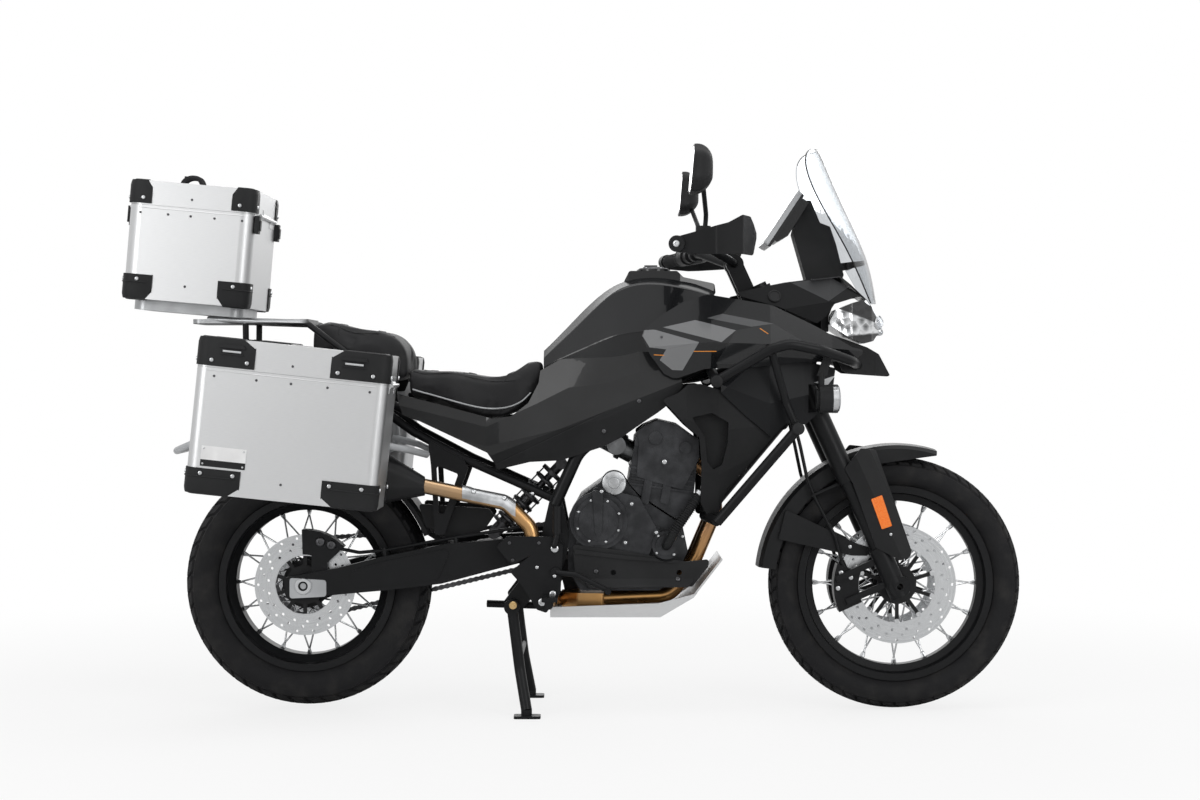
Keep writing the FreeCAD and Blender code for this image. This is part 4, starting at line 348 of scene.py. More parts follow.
keep(
    satin_plastic("satin_black", PANEL, 0.42),
    satin_plastic("trim_black", (0.015, 0.0153, 0.016), 0.52, 900.0, 0.4),
    satin_plastic("label_white", (0.82, 0.82, 0.82), 0.4),
    powder_coat("frame_black", (0.009, 0.0093, 0.010)),
    powder_coat("silver_paint", (0.42, 0.43, 0.44), 0.3),
    cast_metal("engine_grey", (0.046, 0.047, 0.05), 0.42, 0.55),
    cast_metal("bright_casting", (0.52, 0.53, 0.54), 0.38, 0.95),
    cast_metal("dark_steel", (0.11, 0.11, 0.115), 0.4, 0.9),
    cast_metal("throttle_casting", (0.2, 0.205, 0.21), 0.36, 0.85),
    brushed_metal("steel", (0.58, 0.59, 0.6), 0.26, EVEN, 0.05),
    brushed_metal("brass", (0.6, 0.42, 0.2), 0.3, EVEN, 0.05),
    brushed_metal("aluminium", (0.6, 0.605, 0.61), 0.38),
    rubber("rubber", (0.02, 0.02, 0.021)),
    tyre_rubber("front_tyre_rubber", front_axle, 0.255, 0.318),
    tyre_rubber("rear_tyre_rubber", rear_axle, 0.228, 0.312),
    clear("clear_sheet", (0.62, 0.64, 0.66), 0.02),
    clear("lamp_glass", (0.95, 0.97, 1.0), 0.01),
    gloss_paint("display_glass", (0.004, 0.0045, 0.005)),
    lens("amber_lens", (0.9, 0.2, 0.01)),
    lens("red_lens", (0.4, 0.006, 0.008)),
    lens("orange_reflector", (0.95, 0.16, 0.01), 0.0025),
    lens("white_light", (0.85, 0.88, 0.92), 0.003, 0.5),
)

# %% [markdown]
# ## Finishes with a pattern of their own
# A few pieces change colour along their length: heat tints a pipe, a brake disc is ground in rings,
# and the fairing carries grey blades, a thin orange line and a patch of painted sheen.
# Each pattern is a field of the rest position, so it stays on the piece when the machine moves.
# A painted texture could carry them too, but a field needs no unwrapping and stays sharp close by.

# %% Heat-tinted pipe


def heat_tinted(name):
    """Straw near the engine, bronze along the run, duller where it cools."""
    finish = Finish(name, (0.35, 0.2, 0.09), 0.26, 1.0)
    blotch = finish.noise(11.0, 4.0)
    warmth = ((finish.axes()[0] + 0.5) * 1.1 + 0.35 * (blotch - 0.5)).clamped()
    tint = finish.node("ShaderNodeValToRGB", {"stops": [
        (0.0, (0.34, 0.25, 0.17)), (0.4, (0.46, 0.27, 0.12)),
        (0.75, (0.56, 0.31, 0.11)), (1.0, (0.3, 0.17, 0.1)),
    ]}, {"Fac": warmth})
    finish.set("Base Color", tint).set("Roughness", 0.2 + 0.2 * blotch)
    return finish.bump(finish.noise(300.0, 2.0), 0.06, 0.0005)


print("a pipe darkens where it cools")

# %% Ground disc and spokes


def ground_disc(name, axle, carrier):
    """Steel ground in fine rings about an axle, on a black carrier of the given radius."""
    finish = Finish(name, (0.56, 0.57, 0.58), 0.24, 1.0)
    reach = finish.reach(axle)
    across = finish.node("ShaderNodeCombineXYZ", None, {0: reach * 2600.0, 1: finish.axes()[1] * 20.0, 2: 0.5})
    rings = finish.noise(1.0, 3.0, across)
    steel = reach.step(carrier - 0.0004, carrier + 0.0004)
    ground = finish.mix(rings, (0.44, 0.45, 0.46), (0.66, 0.67, 0.68))
    return finish.set("Metallic", steel).surface(steel, (0.014, 0.0143, 0.015), ground,
                                                 0.42 - steel * (0.22 - 0.16 * rings), rings, 0.12, 0.0003)


def spoked(name, axle, flange):
    """Polished steel spokes on a black hub, told apart by their distance from the axle."""
    finish = Finish(name, (0.6, 0.61, 0.62), 0.24, 1.0)
    spoke = finish.reach(axle).step(flange - 0.001, flange + 0.001)
    grain = finish.noise(90.0)
    bright = finish.mix(grain, (0.5, 0.51, 0.52), (0.7, 0.71, 0.72))
    finish.set("Metallic", 0.2 + 0.8 * spoke)
    return finish.surface(spoke, (0.012, 0.0125, 0.013), bright, 0.4 - 0.2 * spoke + 0.08 * grain,
                          finish.noise(500.0, 2.0), 0.1, 0.0004)


keep(
    heat_tinted("heat_tinted"),
    ground_disc("front_disc_steel", front_axle, 0.098), ground_disc("rear_disc_steel", rear_axle, 0.075),
    spoked("front_spokes", front_axle, 0.052), spoked("rear_spokes", rear_axle, 0.069),
)

# %% [markdown]
# ## Panels, core and rack
# The side panel is moulded in one piece and painted glossy above its shoulder line, with a groove below it.
# The rack's plate is bare where cases rub its coat away, and the radiator is a block of fine fins.
# All three are an even finish whose sockets are set again with a mask over the machine's own coordinates.

# %% Side panel, radiator core and rack
SHOULDER, SHOULDER_SLOPE = (-0.208, 0.675), 0.386
GROOVE, GROOVE_SLOPE, GROOVE_ENDS = (-0.217, 0.645), 0.474, (-0.217, 0.093)
RACK_TOP, RACK_FRONT = 1.004, -0.72


def over_line(x, z, start, slope):
    """How far a place lies above a slanted line through start (x, z)."""
    return z - start[1] - (x - start[0]) * slope


def split_panel(name):
    """Satin side panel whose part above a slanted line is glossier, with a pressed groove under the line."""
    finish = satin_plastic(name, PANEL, 0.44)
    x, _, z = finish.axes()
    gloss = over_line(x, z, SHOULDER, SHOULDER_SLOPE).step(-0.001, 0.001)
    groove = over_line(x, z, GROOVE, GROOVE_SLOPE).between(-0.0014, 0.0014, 0.0008)
    groove = groove * x.between(*GROOVE_ENDS, 0.004)
    finish.set("Roughness", 0.46 - 0.2 * gloss + 0.06 * finish.noise(24.0)).set("Coat Weight", 0.5 * gloss)
    return finish.bump(finish.cells(1500.0) * (1 - gloss) * 0.2 - groove * 3.0 - gloss * 1.2, 0.4, 0.0012)


def ribbed(name, pitch):
    """Black core of a radiator: fins across, seen as a fine regular wave."""
    finish = powder_coat(name, (0.012, 0.0125, 0.013), 0.45)
    return finish.bump((finish.axes()[2] * (2 * math.pi / pitch)).math("SINE"), 0.6, 0.001)


def rack_metal(name):
    """Black carrier whose top plate and outer rails are bare alloy, worn bright where cases rub."""
    finish = powder_coat(name, (0.01, 0.0103, 0.011))
    x, _, z = finish.axes()
    bare = (z - RACK_TOP).step(0.0, 0.002) * (1 - (x - RACK_FRONT).step(0.0, 0.03))
    rubbed = finish.mix(finish.noise(24.0, 4.0), (0.26, 0.265, 0.27), (0.46, 0.47, 0.48))
    finish.set("Base Color", finish.mix(bare, (0.011, 0.0113, 0.012), rubbed))
    return finish.set("Metallic", 0.15 + 0.75 * bare)


keep(split_panel("split_panel"), ribbed("radiator_core", 0.0034), rack_metal("rack_metal"))

# %% [markdown]
# ## Reflector, dash screen and mirror
# A headlight's bowl is pressed into facets and plated, and its rim and hood are left black.
# The dash shows a dial, a row of bars and two plain fields; each is a mask, and their sum lights the screen.

# %% The headlight's bowl
HOOD, HOOD_SLOPE = (0.72, 1.022), -0.35
RIM, RIM_SLOPE = (0.7, 0.975), 0.1


def lamp_body(name):
    """Faceted reflector seen through a clear cover, dark along its top."""
    finish = Finish(name, (0.5, 0.51, 0.52), 0.14, 0.9).set("Coat Weight", 0.9)
    x, _, z = finish.axes()
    facets = finish.cells(46.0)
    top = over_line(x, z, HOOD, HOOD_SLOPE).step(-0.002, 0.003)
    rim = over_line(x, z, RIM, RIM_SLOPE).step(-0.004, 0.002)
    bright = finish.mix(facets.step(0.1, 0.7), (0.2, 0.205, 0.21), (0.68, 0.69, 0.7))
    finish.set("Metallic", 0.85 - 0.7 * top)
    return finish.surface(top, finish.mix(rim, (0.02, 0.02, 0.021), bright), (0.018, 0.018, 0.019),
                          0.1 + 0.12 * facets, facets, 0.5, 0.004)


print("hood slope", HOOD_SLOPE)

# %% The dash screen
DIAL_Z, DIAL_RING, DIAL_CUT = 1.283, (0.03, 0.036), 1.266
BAR_ROW, BAR_END, BAR_WAVE = (1.226, 1.238), 0.06, 520.0
FIELD_ACROSS, FIELD_UP = (0.05, 0.074), (1.262, 1.31)


def display_face(name):
    """A dash screen: dark glass with a round dial, a bar row and two plain fields, and no writing."""
    finish = gloss_paint(name, (0.006, 0.0065, 0.008))
    _, y, z = finish.axes()
    dial = (y * y + (z - DIAL_Z) ** 2.0) ** 0.5
    arc = dial.between(*DIAL_RING, 0.0006) * (z - DIAL_CUT).step(-0.001, 0.001)
    bars = z.between(*BAR_ROW, 0.0004) * (y * BAR_WAVE).math("SINE").step(-0.1, 0.1)
    bars = bars * (1 - abs(y).step(BAR_END, BAR_END + 0.002))
    fields = abs(y).between(*FIELD_ACROSS, 0.0006) * z.between(*FIELD_UP, 0.0006) * 0.35
    lit = (arc + bars * 0.8 + fields).clamped()
    return finish.set("Emission Color", finish.mix(lit, (0.004, 0.005, 0.007), (0.45, 0.62, 0.8))).set(
        "Emission Strength", 0.55)


mirror_glass = Finish("mirror_glass", (0.86, 0.88, 0.9), 0.02, 1.0)
mirror_glass.set("Roughness", 0.02 + 0.02 * mirror_glass.noise(5.0))
keep(lamp_body("lamp_body"), display_face("display"), mirror_glass)

# %% [markdown]
# ## Stripes, blades and a painted sheen
# The fairing's grey blades and thin orange lines are films laid under its clear coat.
# One faint grey patch below the blades is no film but a painted sheen.
# Each is a flat outline seen from the side, and the product of its edges' steps is the mask that paints it.

# %% Graphics: flat outlines painted on a finish


def convex(finish, points, soft=0.0004):
    """1 inside a convex outline of (x, z) in millimetres, looked at from the side."""
    x, _, z = finish.axes()
    pairs = list(zip(points, points[1:] + points[:1]))
    turn = 1 if sum(a[0] * b[1] - b[0] * a[1] for a, b in pairs) > 0 else -1
    edges = []
    for (ax, az), (bx, bz) in pairs:
        run, rise = (bx - ax) * turn, (bz - az) * turn
        length = math.hypot(run, rise)
        across, up = -rise / length, run / length
        edges.append((x * across + z * up - (ax * across + az * up) / 1000).step(-soft, soft))
    return reduce(lambda one, other: one * other, edges)


def line_between(start, end, width=2.0):
    """A thin band from one place to another, as an outline."""
    run, rise = end[0] - start[0], end[1] - start[1]
    half = width / 2 / math.hypot(run, rise)
    across, up = -rise * half, run * half
    return [(start[0] + across, start[1] + up), (end[0] + across, end[1] + up),
            (end[0] - across, end[1] - up), (start[0] - across, start[1] - up)]


def with_graphics(finish, painted, layers):
    """Paints layers of (colour, outlines) over a finish's colour, each outline convex."""
    masks = []
    for colour, outlines in layers:
        masks.append(any_of([convex(finish, outline) for outline in outlines]))
        painted = finish.mix(masks[-1], painted, colour)
    return finish.set("Base Color", painted).set("Roughness", 0.2 + 0.16 * any_of(masks))


print("graphics are masks over a paint")

# %% The fairing's blades and painted sheen, and the cowl's patch
striped_paint = with_graphics(gloss_paint("striped_paint", PAINT), PAINT, [
    # The first layer, a dark grey just lighter than the paint, is a painted sheen below the upper blades.
    ((0.021, 0.022, 0.023), [[(392, 985), (488, 1002), (560, 960), (470, 905), (342, 900)]]),
    ((0.19, 0.193, 0.197), [
        [(157, 972), (162, 986), (188, 987), (299, 955), (217, 937), (175, 942)],
        [(217, 937), (299, 955), (259, 884), (233, 885), (201, 910)],
        [(209, 993), (290, 1011), (392, 985), (355, 955)],
    ]),
    ((0.09, 0.092, 0.095), [[(320, 1016), (359, 1027), (488, 1002), (432, 994)]]),
    ((0.78, 0.27, 0.03), [line_between((186, 923.5), (212, 922)), line_between((286, 932), (343, 932)),
                          line_between((453, 990), (474, 976))]),
    ((0.62, 0.63, 0.64), [[(595, 853), (651, 871), (630, 846)]]),
])
LOW_PANEL = [(357, 828), (440, 905), (503, 918), (575, 914), (660, 895), (660, 730), (480, 700)]
low_panel = convex(striped_paint, LOW_PANEL)
striped_paint.set("Coat Weight", 0.5 * (1 - low_panel)).set("Roughness", 0.22 + 0.26 * low_panel)
keep(striped_paint, with_graphics(satin_plastic("cowl_paint", PANEL, 0.34), PANEL, [
    ((0.05, 0.051, 0.053), [[(537, 1108), (664, 1125), (696, 1102), (634, 1061)]]),
]))

# %% [markdown]
# ## Dressing the frame
# Every node of the frame keeps its shape and takes one finish from the palette.
# Listing them by finish shows at a glance what the machine is made of.

# %% Give every node its finish
node_finishes = {
    "striped_paint": "side_fairings fuel_tank",
    "cowl_paint": "front_cowl",
    "split_panel": "side_covers",
    "radiator_core": "radiator",
    "throttle_casting": "intake",
    "front_spokes": "front_hub",
    "rear_spokes": "rear_hub",
    "lamp_body": "headlight",
    "satin_black": "radiator_shrouds beak front_fender fork_guards rear_hugger tail_panels hand_guards silencer",
    "trim_black": "instrument_tower plate_carrier belly_covers mirrors fog_lamps hand_controls",
    "frame_black": "main_frame rear_subframe crash_bars swingarm centre_stand side_stand triple_clamp fork_legs "
                   "handlebar front_calipers rear_caliper front_rim rear_rim footrests",
    "engine_grey": "crankcase cylinders",
    "heat_tinted": "exhaust_pipes",
    "rack_metal": "top_rack",
    "dark_steel": "drive_chain shock_absorber",
    "aluminium": "skid_plate right_pannier left_pannier top_case "
                 "right_pannier_lid left_pannier_lid top_case_lid",
    "silver_paint": "pannier_frame",
    "front_disc_steel": "front_discs",
    "rear_disc_steel": "rear_disc",
    "front_tyre_rubber": "front_tyre",
    "rear_tyre_rubber": "rear_tyre",
    "clear_sheet": "windscreen",
    "display_glass": "dash_display",
    "rubber": "rider_seat pillion_seat",
}


def dress(thing, finish_name):
    """Gives an object one finish, on its own slots where it has them."""
    material = palette[finish_name].material
    for material_slot in thing.material_slots:
        material_slot.material = material
    if not thing.material_slots:
        thing.data.materials.append(material)


for finish_name, names in node_finishes.items():
    for name in names.split():
        dress(nodes[name], finish_name)
print("undressed nodes", sorted(set(nodes) - set(" ".join(node_finishes.values()).split())))

# %% [markdown]
# ## Helpers that make pieces
# A small piece is a few rings of points joined by faces, or a tube along a path.
# Each table below is in millimetres, because that is how such a machine is measured.
# `mounted` turns what was made into an object that rides on its body and has its finish.

# %% Making and mounting a piece
SIDES = (-1, 1)
SHARP_ANGLE = math.radians(35)


def at(x, y, z):
    """A place in metres, from millimetres."""
    return Vector((x, y, z)) / 1000


def body_of(node):
    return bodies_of(nodes[node])[0]


def add_object(name, data):
    """An object in the scene that shows a mesh, a light or a camera."""
    thing = bpy.data.objects.new(name, data)
    bpy.context.scene.collection.objects.link(thing)
    return thing


def mounted(name, shape, body="chassis", finish_name="steel", smooth=True):
    """Turns a bmesh into a piece that rides on a body, with a finish."""
    bmesh.ops.recalc_face_normals(shape, faces=shape.faces)
    mesh = bpy.data.meshes.new(name)
    shape.to_mesh(mesh)
    shape.free()
    piece = add_object(name, mesh)
    if smooth:
        mesh.shade_smooth()
        mesh.set_sharp_from_angle(angle=SHARP_ANGLE)
    dress(piece, finish_name)
    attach(piece, body)
    return piece


# %% Rings and turned solids


def add_rings(shape, rings, caps=True):
    """Joins closed rings of points, all with as many points, into a skin; caps close the two ends."""
    made = [[shape.verts.new(point) for point in ring] for ring in rings]
    count = len(rings[0])
    for low, high in zip(made, made[1:]):
        for index in range(count):
            following = (index + 1) % count
            shape.faces.new((low[index], low[following], high[following], high[index]))
    if caps:
        shape.faces.new(made[0])
        shape.faces.new(made[-1])


def square_to(direction):
    """Two unit vectors square to a direction."""
    helper = Vector((0, 0, 1)) if abs(direction.z) < 0.9 else Vector((1, 0, 0))
    side = direction.cross(helper).normalized()
    return side, direction.cross(side)


def circle(centre, side, up, radius, count):
    turns = [2 * math.pi * index / count for index in range(count)]
    return [centre + (side * math.cos(turn) + up * math.sin(turn)) * radius for turn in turns]


def add_lathe(shape, start, direction, profile, sides=16):
    """A turned solid: profile is (distance along direction, radius)."""
    start, direction = Vector(start), Vector(direction).normalized()
    side, up = square_to(direction)
    add_rings(shape, [circle(start + direction * along / 1000, side, up, radius / 1000, sides)
                      for along, radius in profile])


print("makers: rings and lathe")

# %% Plates, tubes and smooth paths


def add_prism(shape, outline, direction, sunk=0.0):
    """A flat plate: an outline of points, pushed along direction, with a share of it sunk behind."""
    direction = Vector(direction)
    base = [Vector(point) - direction * sunk for point in outline]
    add_rings(shape, [base, [point + direction for point in base]])


def add_tube(shape, path, radius, sides=10):
    """A round tube through a list of points, already smooth enough to follow."""
    rings, side = [], None
    for index, point in enumerate(path):
        ahead = (path[min(index + 1, len(path) - 1)] - path[max(index - 1, 0)]).normalized()
        side = square_to(ahead)[0] if side is None else side
        side = (side - ahead * side.dot(ahead)).normalized()
        rings.append(circle(point, side, ahead.cross(side), radius / 1000, sides))
    add_rings(shape, rings)


def smooth_path(points, steps):
    """A Catmull-Rom curve through points."""
    padded = [points[0] * 2 - points[1]] + points + [points[-1] * 2 - points[-2]]
    path = []
    for first, second, third, fourth in zip(padded, padded[1:], padded[2:], padded[3:]):
        for t in (step / steps for step in range(steps)):
            path.append(0.5 * (2 * second + (third - first) * t
                               + (2 * first - 5 * second + 4 * third - fourth) * t * t
                               + (3 * second - first - 3 * third + fourth) * t * t * t))
    return path + [points[-1]]


print("makers: prism and tube")

# %% Flat outlines


def oblong(left, right, low, high):
    return [(left, low), (right, low), (right, high), (left, high)]


def rounded(points, reach, steps=4):
    """Rounds the corners of a flat outline of pairs."""
    made = []
    for before, here, after in zip(points[-1:] + points[:-1], points, points[1:] + points[:1]):
        here = Vector(here)
        back, ahead = Vector(before) - here, Vector(after) - here
        start, end = here + back * min(0.45, reach / back.length), here + ahead * min(0.45, reach / ahead.length)
        for share in (step / steps for step in range(steps + 1)):
            made.append(tuple(start * (1 - share) ** 2 + here * 2 * share * (1 - share) + end * share * share))
    return made


def plate(shape, outline, side, y, thick):
    """A flat plate across the machine: an outline of (x, z), its outer face at |y|."""
    add_prism(shape, [at(x, side * (y - thick), z) for x, z in outline], at(0, side * thick, 0))


def disc(shape, x, y, z, side, profile, sides=20):
    """A turned piece about the Y axis."""
    add_lathe(shape, at(x, side * y, z), (0, side, 0), profile, sides)


print("an oblong has", len(oblong(0, 1, 0, 1)), "corners")

# %% Finding a spot on a surface


def strike(thing, start, direction):
    """The place and normal where a ray first meets an object, or None."""
    hit, point, normal, _ = thing.ray_cast(start, Vector(direction))
    return (point, normal) if hit else None


def beside(thing, x, z, side=-1):
    """The outermost spot at (x, z), looking in from the right (-1) or the left (+1)."""
    return strike(thing, at(x, side * 800, z), (0, -side, 0))


def above(thing, x, y):
    return strike(thing, at(x, y, 1400), (0, 0, -1))


print("tank top at", round(above(nodes["fuel_tank"], 190, 0)[0].z, 3))

# %% [markdown]
# ## Screws
# A machine like this shows a hundred socket screws, and their small bright rims give it scale.
# One screw is a turned head with a hexagonal socket sunk into it, placed square to the surface under it.

# %% One screw, many places
FLAT = math.cos(math.pi / 6)


def add_screw(shape, point, normal, radius):
    """A button head with a hexagonal socket; its foot is sunk a little into the surface."""
    radius = radius / 1000
    point, normal = Vector(point), Vector(normal).normalized()
    side, up = square_to(normal)

    def ring(along, reach, flats=1.0):
        """Twelve points; flats draws every second one in, to the middle of a hexagon's side."""
        centre = point + normal * along * radius
        spots = circle(centre, side, up, reach * radius, 12)
        return [centre + (spot - centre) * (flats if index % 2 else 1) for index, spot in enumerate(spots)]

    add_rings(shape, [ring(-0.4, 1), ring(0.279, 1), ring(0.527, 0.86), ring(0.62, 0.66), ring(0.62, 0.5, FLAT),
                      ring(0.217, 0.5, FLAT)])


def screws(name, body, places, radius, finish_name="steel"):
    """A set of screws on one body; each place is (point, normal) or (point, normal, radius)."""
    shape = bmesh.new()
    for place in places:
        add_screw(shape, place[0], place[1], place[2] if len(place) > 2 else radius)
    print(name, len(places))
    return mounted(name, shape, body, finish_name)


# %% [markdown]
# ## Tyres with a cut tread
# The frame's tyre is smooth to the outside of its tread.
# This one keeps that outside, but only the blocks reach it: the carcass between them lies lower.
# Block rows lean against each other like a herringbone, as on a dual-purpose tyre.

# %% The section of a tyre
TREAD_DEPTH, BLOCK_INSET, BLOCK_LENGTH, CARCASS_STEPS = 6.0, 0.9, 0.74, 120
BLOCK_ROWS = ((-0.98, -0.66, 0.5, 0.35), (-0.6, -0.24, 0.0, -0.3), (-0.19, 0.19, 0.5, 0.3),
              (0.24, 0.6, 0.0, 0.3), (0.66, 0.98, 0.5, -0.35))
BLOCK_CORNERS = ((0.0, 0), (0.5, 0), (1.0, 0), (1.0, 1), (0.5, 1), (0.0, 1))


def tyre_section(radius, width, rim_radius, rim_width):
    """The carcass from one bead to the other as (y, reach), and a function from y to the tread's own reach."""
    half, sagitta, chord = width / 2, width * 0.13, width * 0.4
    crown = (chord * chord + sagitta * sagitta) / (2 * sagitta)
    flange, shoulder = rim_radius + 14, radius - sagitta
    widest = (radius + flange) / 2 - 4

    def top(y):
        return radius - crown + math.sqrt(crown * crown - y * y)

    right = [(rim_width / 2 - 8, rim_radius + 1), (rim_width / 2 - 5.5, flange), (rim_width / 2, flange + 3.5)]
    for share in (step / 8 for step in range(1, 8)):
        reach = flange + 3 + (shoulder - flange - 3) * share
        bulge = 1 - ((reach - widest) / (widest - flange)) ** 2
        edge = rim_width / 2 + (chord - rim_width / 2) * share
        right.append((edge + (half - edge) * max(0.0, bulge) * 0.98, reach))
    right += [(y, top(y) - TREAD_DEPTH) for y in (chord * 0.98, chord * 0.75, chord * 0.5, chord * 0.25)]
    return right + [(0, top(0) - TREAD_DEPTH)] + [(-y, reach) for y, reach in reversed(right)], top


print("rows of blocks", len(BLOCK_ROWS))

# %% Carcass and blocks


def tyre(node, axle, radius, width, rim_radius, rim_width, count):
    """A tyre with the section of the frame's own one, and count blocks in each row."""
    section, top = tyre_section(radius, width, rim_radius, rim_width)
    chord = width * 0.4

    def spot(turn, y, reach):
        return at(axle[0] * 1000 + math.cos(turn) * reach, y, axle[2] * 1000 + math.sin(turn) * reach)

    shape = bmesh.new()
    turns = [2 * math.pi * index / CARCASS_STEPS for index in range(CARCASS_STEPS + 1)]
    add_rings(shape, [[spot(turn, y, reach) for y, reach in section] for turn in turns], caps=False)
    bmesh.ops.remove_doubles(shape, verts=shape.verts, dist=0.00001)
    pitch = 2 * math.pi / count
    for index in range(count):
        for low, high, shift, lean in BLOCK_ROWS:
            rings = []
            for lift, inset in ((-1.0, 0.0), (TREAD_DEPTH, BLOCK_INSET)):
                ring = []
                for share, end in BLOCK_CORNERS:
                    y = (low + (high - low) * share) * chord + inset * (1 - 2 * share)
                    turn = (index + shift + lean * share + BLOCK_LENGTH * end) * pitch
                    turn += (1 - 2 * end) * inset / radius
                    ring.append(spot(turn, y, top(y) - TREAD_DEPTH + lift))
                rings.append(ring)
            add_rings(shape, rings)
    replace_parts(mounted(f"{node}_tread", shape, body_of(node), f"{node}_rubber"), node)
    print(node, "blocks", count * len(BLOCK_ROWS))


tyre("front_tyre", front_axle, 329, 110, 241.3, 76, 58)
tyre("rear_tyre", rear_axle, 321, 150, 215.9, 118, 46)

# %% [markdown]
# ## Wheels: nipples and bobbins
# Each spoke ends in a nipple under the rim, and each front disc floats on ten bobbins.
# Both follow the frame's own pattern, so that they sit where its spokes and carriers end.

# %% Nipples
SPOKE_PAIRS, SPOKE_LEAN, NIPPLE = 8, math.radians(46), [(0, 4.2), (11, 3.8), (14, 2.8)]


def nipples(name, node, axle, flange_y, flange_radius, rim_radius):
    """The spokes' own crossing pattern gives the place and lean of every nipple."""
    shape = bmesh.new()
    for side in SIDES:
        for index in range(SPOKE_PAIRS):
            for lean in SIDES:
                root = index * 2 * math.pi / SPOKE_PAIRS + (side + 1) * math.pi / SPOKE_PAIRS / 2
                tip = root + lean * SPOKE_LEAN
                start = Vector((math.cos(root), 0, math.sin(root))) * (flange_radius - 6)
                end = Vector((math.cos(tip), 0, math.sin(tip))) * (rim_radius - 27.3)
                start.y, end.y = side * flange_y + lean * 2.2, side * 6.0
                along = (start - end).normalized()
                foot = Vector((axle[0], 0, axle[2])) + (end + along * 1.5) / 1000
                add_lathe(shape, foot, along, NIPPLE, 6)
    mounted(name, shape, body_of(node), smooth=False)


nipples("front_spoke_nipples", "front_hub", front_axle, 46, 44, 241.3)
nipples("rear_spoke_nipples", "rear_hub", rear_axle, 62, 62, 215.9)
print("nipples a wheel", 4 * SPOKE_PAIRS)

# %% Bobbins
BOBBINS, BOBBIN_REACH, BOBBIN_Y = 10, 95.5, 61.5
BOBBIN = [(0, 6.4), (6.6, 6.4), (7.2, 5.6), (7.2, 3.2), (5.8, 3.0)]
axle_x, _, axle_z = (1000 * value for value in front_axle)
for side, label in zip(SIDES, ("right", "left")):
    shape = bmesh.new()
    for turn in (2 * math.pi * (index + 0.5) / BOBBINS for index in range(BOBBINS)):
        x, z = axle_x + math.cos(turn) * BOBBIN_REACH, axle_z + math.sin(turn) * BOBBIN_REACH
        disc(shape, x, BOBBIN_Y, z, side, BOBBIN, 14)
    mounted(f"{label}_disc_bobbins", shape, body_of("front_discs"))
print("bobbins a disc", BOBBINS)

# %% [markdown]
# ## The drive chain, link by link
# The frame holds the chain as one band. Here it is rollers and side plates at the chain's real pitch.
# An array along a curve would bend its plates, so every pin is placed first and the links span from pin to pin.

# %% The chain's path and its pins
CHAIN_Y, CHAIN_PITCH = 100.0, 15.875


def chain_path(front, rear, front_radius, rear_radius):
    """A closed path round both sprockets, as (x, z)."""
    run = rear - front
    heading = math.atan2(run.y, run.x)
    leave = math.pi / 2 + math.asin((rear_radius - front_radius) / run.length)
    path = []
    for centre, radius, first, last, steps in (
            (rear, rear_radius, heading - leave, heading + leave, 60),
            (front, front_radius, heading + leave, heading + 2 * math.pi - leave, 30)):
        for turn in (first + (last - first) * step / steps for step in range(steps + 1)):
            path.append(centre + Vector((math.cos(turn), math.sin(turn))) * radius)
    return path + [path[0].copy()]


def chain_pins(path):
    """Pins at an even pitch along the path, an even number of them."""
    spans = [(there - here).length for here, there in zip(path, path[1:])]
    count = 2 * round(sum(spans) / CHAIN_PITCH / 2)
    pitch = sum(spans) / count
    pins, gone, index = [], 0.0, 0
    for link in range(count):
        while index < len(spans) - 1 and gone + spans[index] < link * pitch:
            gone += spans[index]
            index += 1
        pins.append(path[index].lerp(path[index + 1], (link * pitch - gone) / spans[index]))
    print("chain links", count, "pitch", round(pitch, 2))
    return pins


# %% Plates and rollers
PLATE_END, PLATE_WAIST, PLATE_THICK = 6.6, 4.6, 1.6
rear_centre = Vector((rear_axle[0] * 1000, rear_axle[2] * 1000))
pins = chain_pins(chain_path(Vector((4, 438)), rear_centre, 41.5, 104.5))
shape = bmesh.new()
for link, (here, there) in enumerate(zip(pins, pins[1:] + pins[:1])):
    along = (there - here).normalized()
    across = Vector((-along.y, along.x))
    ends = [[centre + (along * math.cos(bend) + across * math.sin(bend)) * PLATE_END
             for bend in map(math.radians, bends)]
            for centre, bends in ((here, (90, 145, 215, 270)), (there, (-90, -35, 35, 90)))]
    waist = (here + there) / 2
    outline = ends[0] + [waist - across * PLATE_WAIST] + ends[1] + [waist + across * PLATE_WAIST]
    for side in SIDES:
        y = CHAIN_Y + side * (6.2 if link % 2 else 4.2) - PLATE_THICK / 2
        add_prism(shape, [at(spot.x, y, spot.y) for spot in outline], at(0, PLATE_THICK, 0))
    for half, radius in ((7.6, 2.6), (3.2, 5)):
        disc(shape, here.x, CHAIN_Y - half, here.y, 1, [(0, radius), (2 * half, radius)], 8)
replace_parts(mounted("chain_links", shape, body_of("drive_chain"), "dark_steel", smooth=False), "drive_chain")
print("chain replaced by links")

# %% [markdown]
# ## Padded seats
# A seat is foam under a stretched cover, so its faces bow out between its edges.
# Each one starts as the frame's solid drawn in by a few millimetres, and cloth under pressure swells it back.
# The covers' seams and the silver piping are laid on afterwards.

# %% Swelling a seat
DRAWN_IN, FURTHEST_MOVE, VOXEL, CLOTH_FRAMES = 0.004, 0.008, 0.0065, 20
CLOTH = {"quality": 4, "mass": 0.25, "use_pressure": True, "uniform_pressure_force": 4.0,
         "tension_stiffness": 12.0, "bending_stiffness": 0.6}


def bake(thing):
    """Writes an object's modifiers into its mesh."""
    mesh = bpy.data.meshes.new_from_object(thing.evaluated_get(bpy.context.evaluated_depsgraph_get()))
    thing.modifiers.clear()
    thing.data = mesh


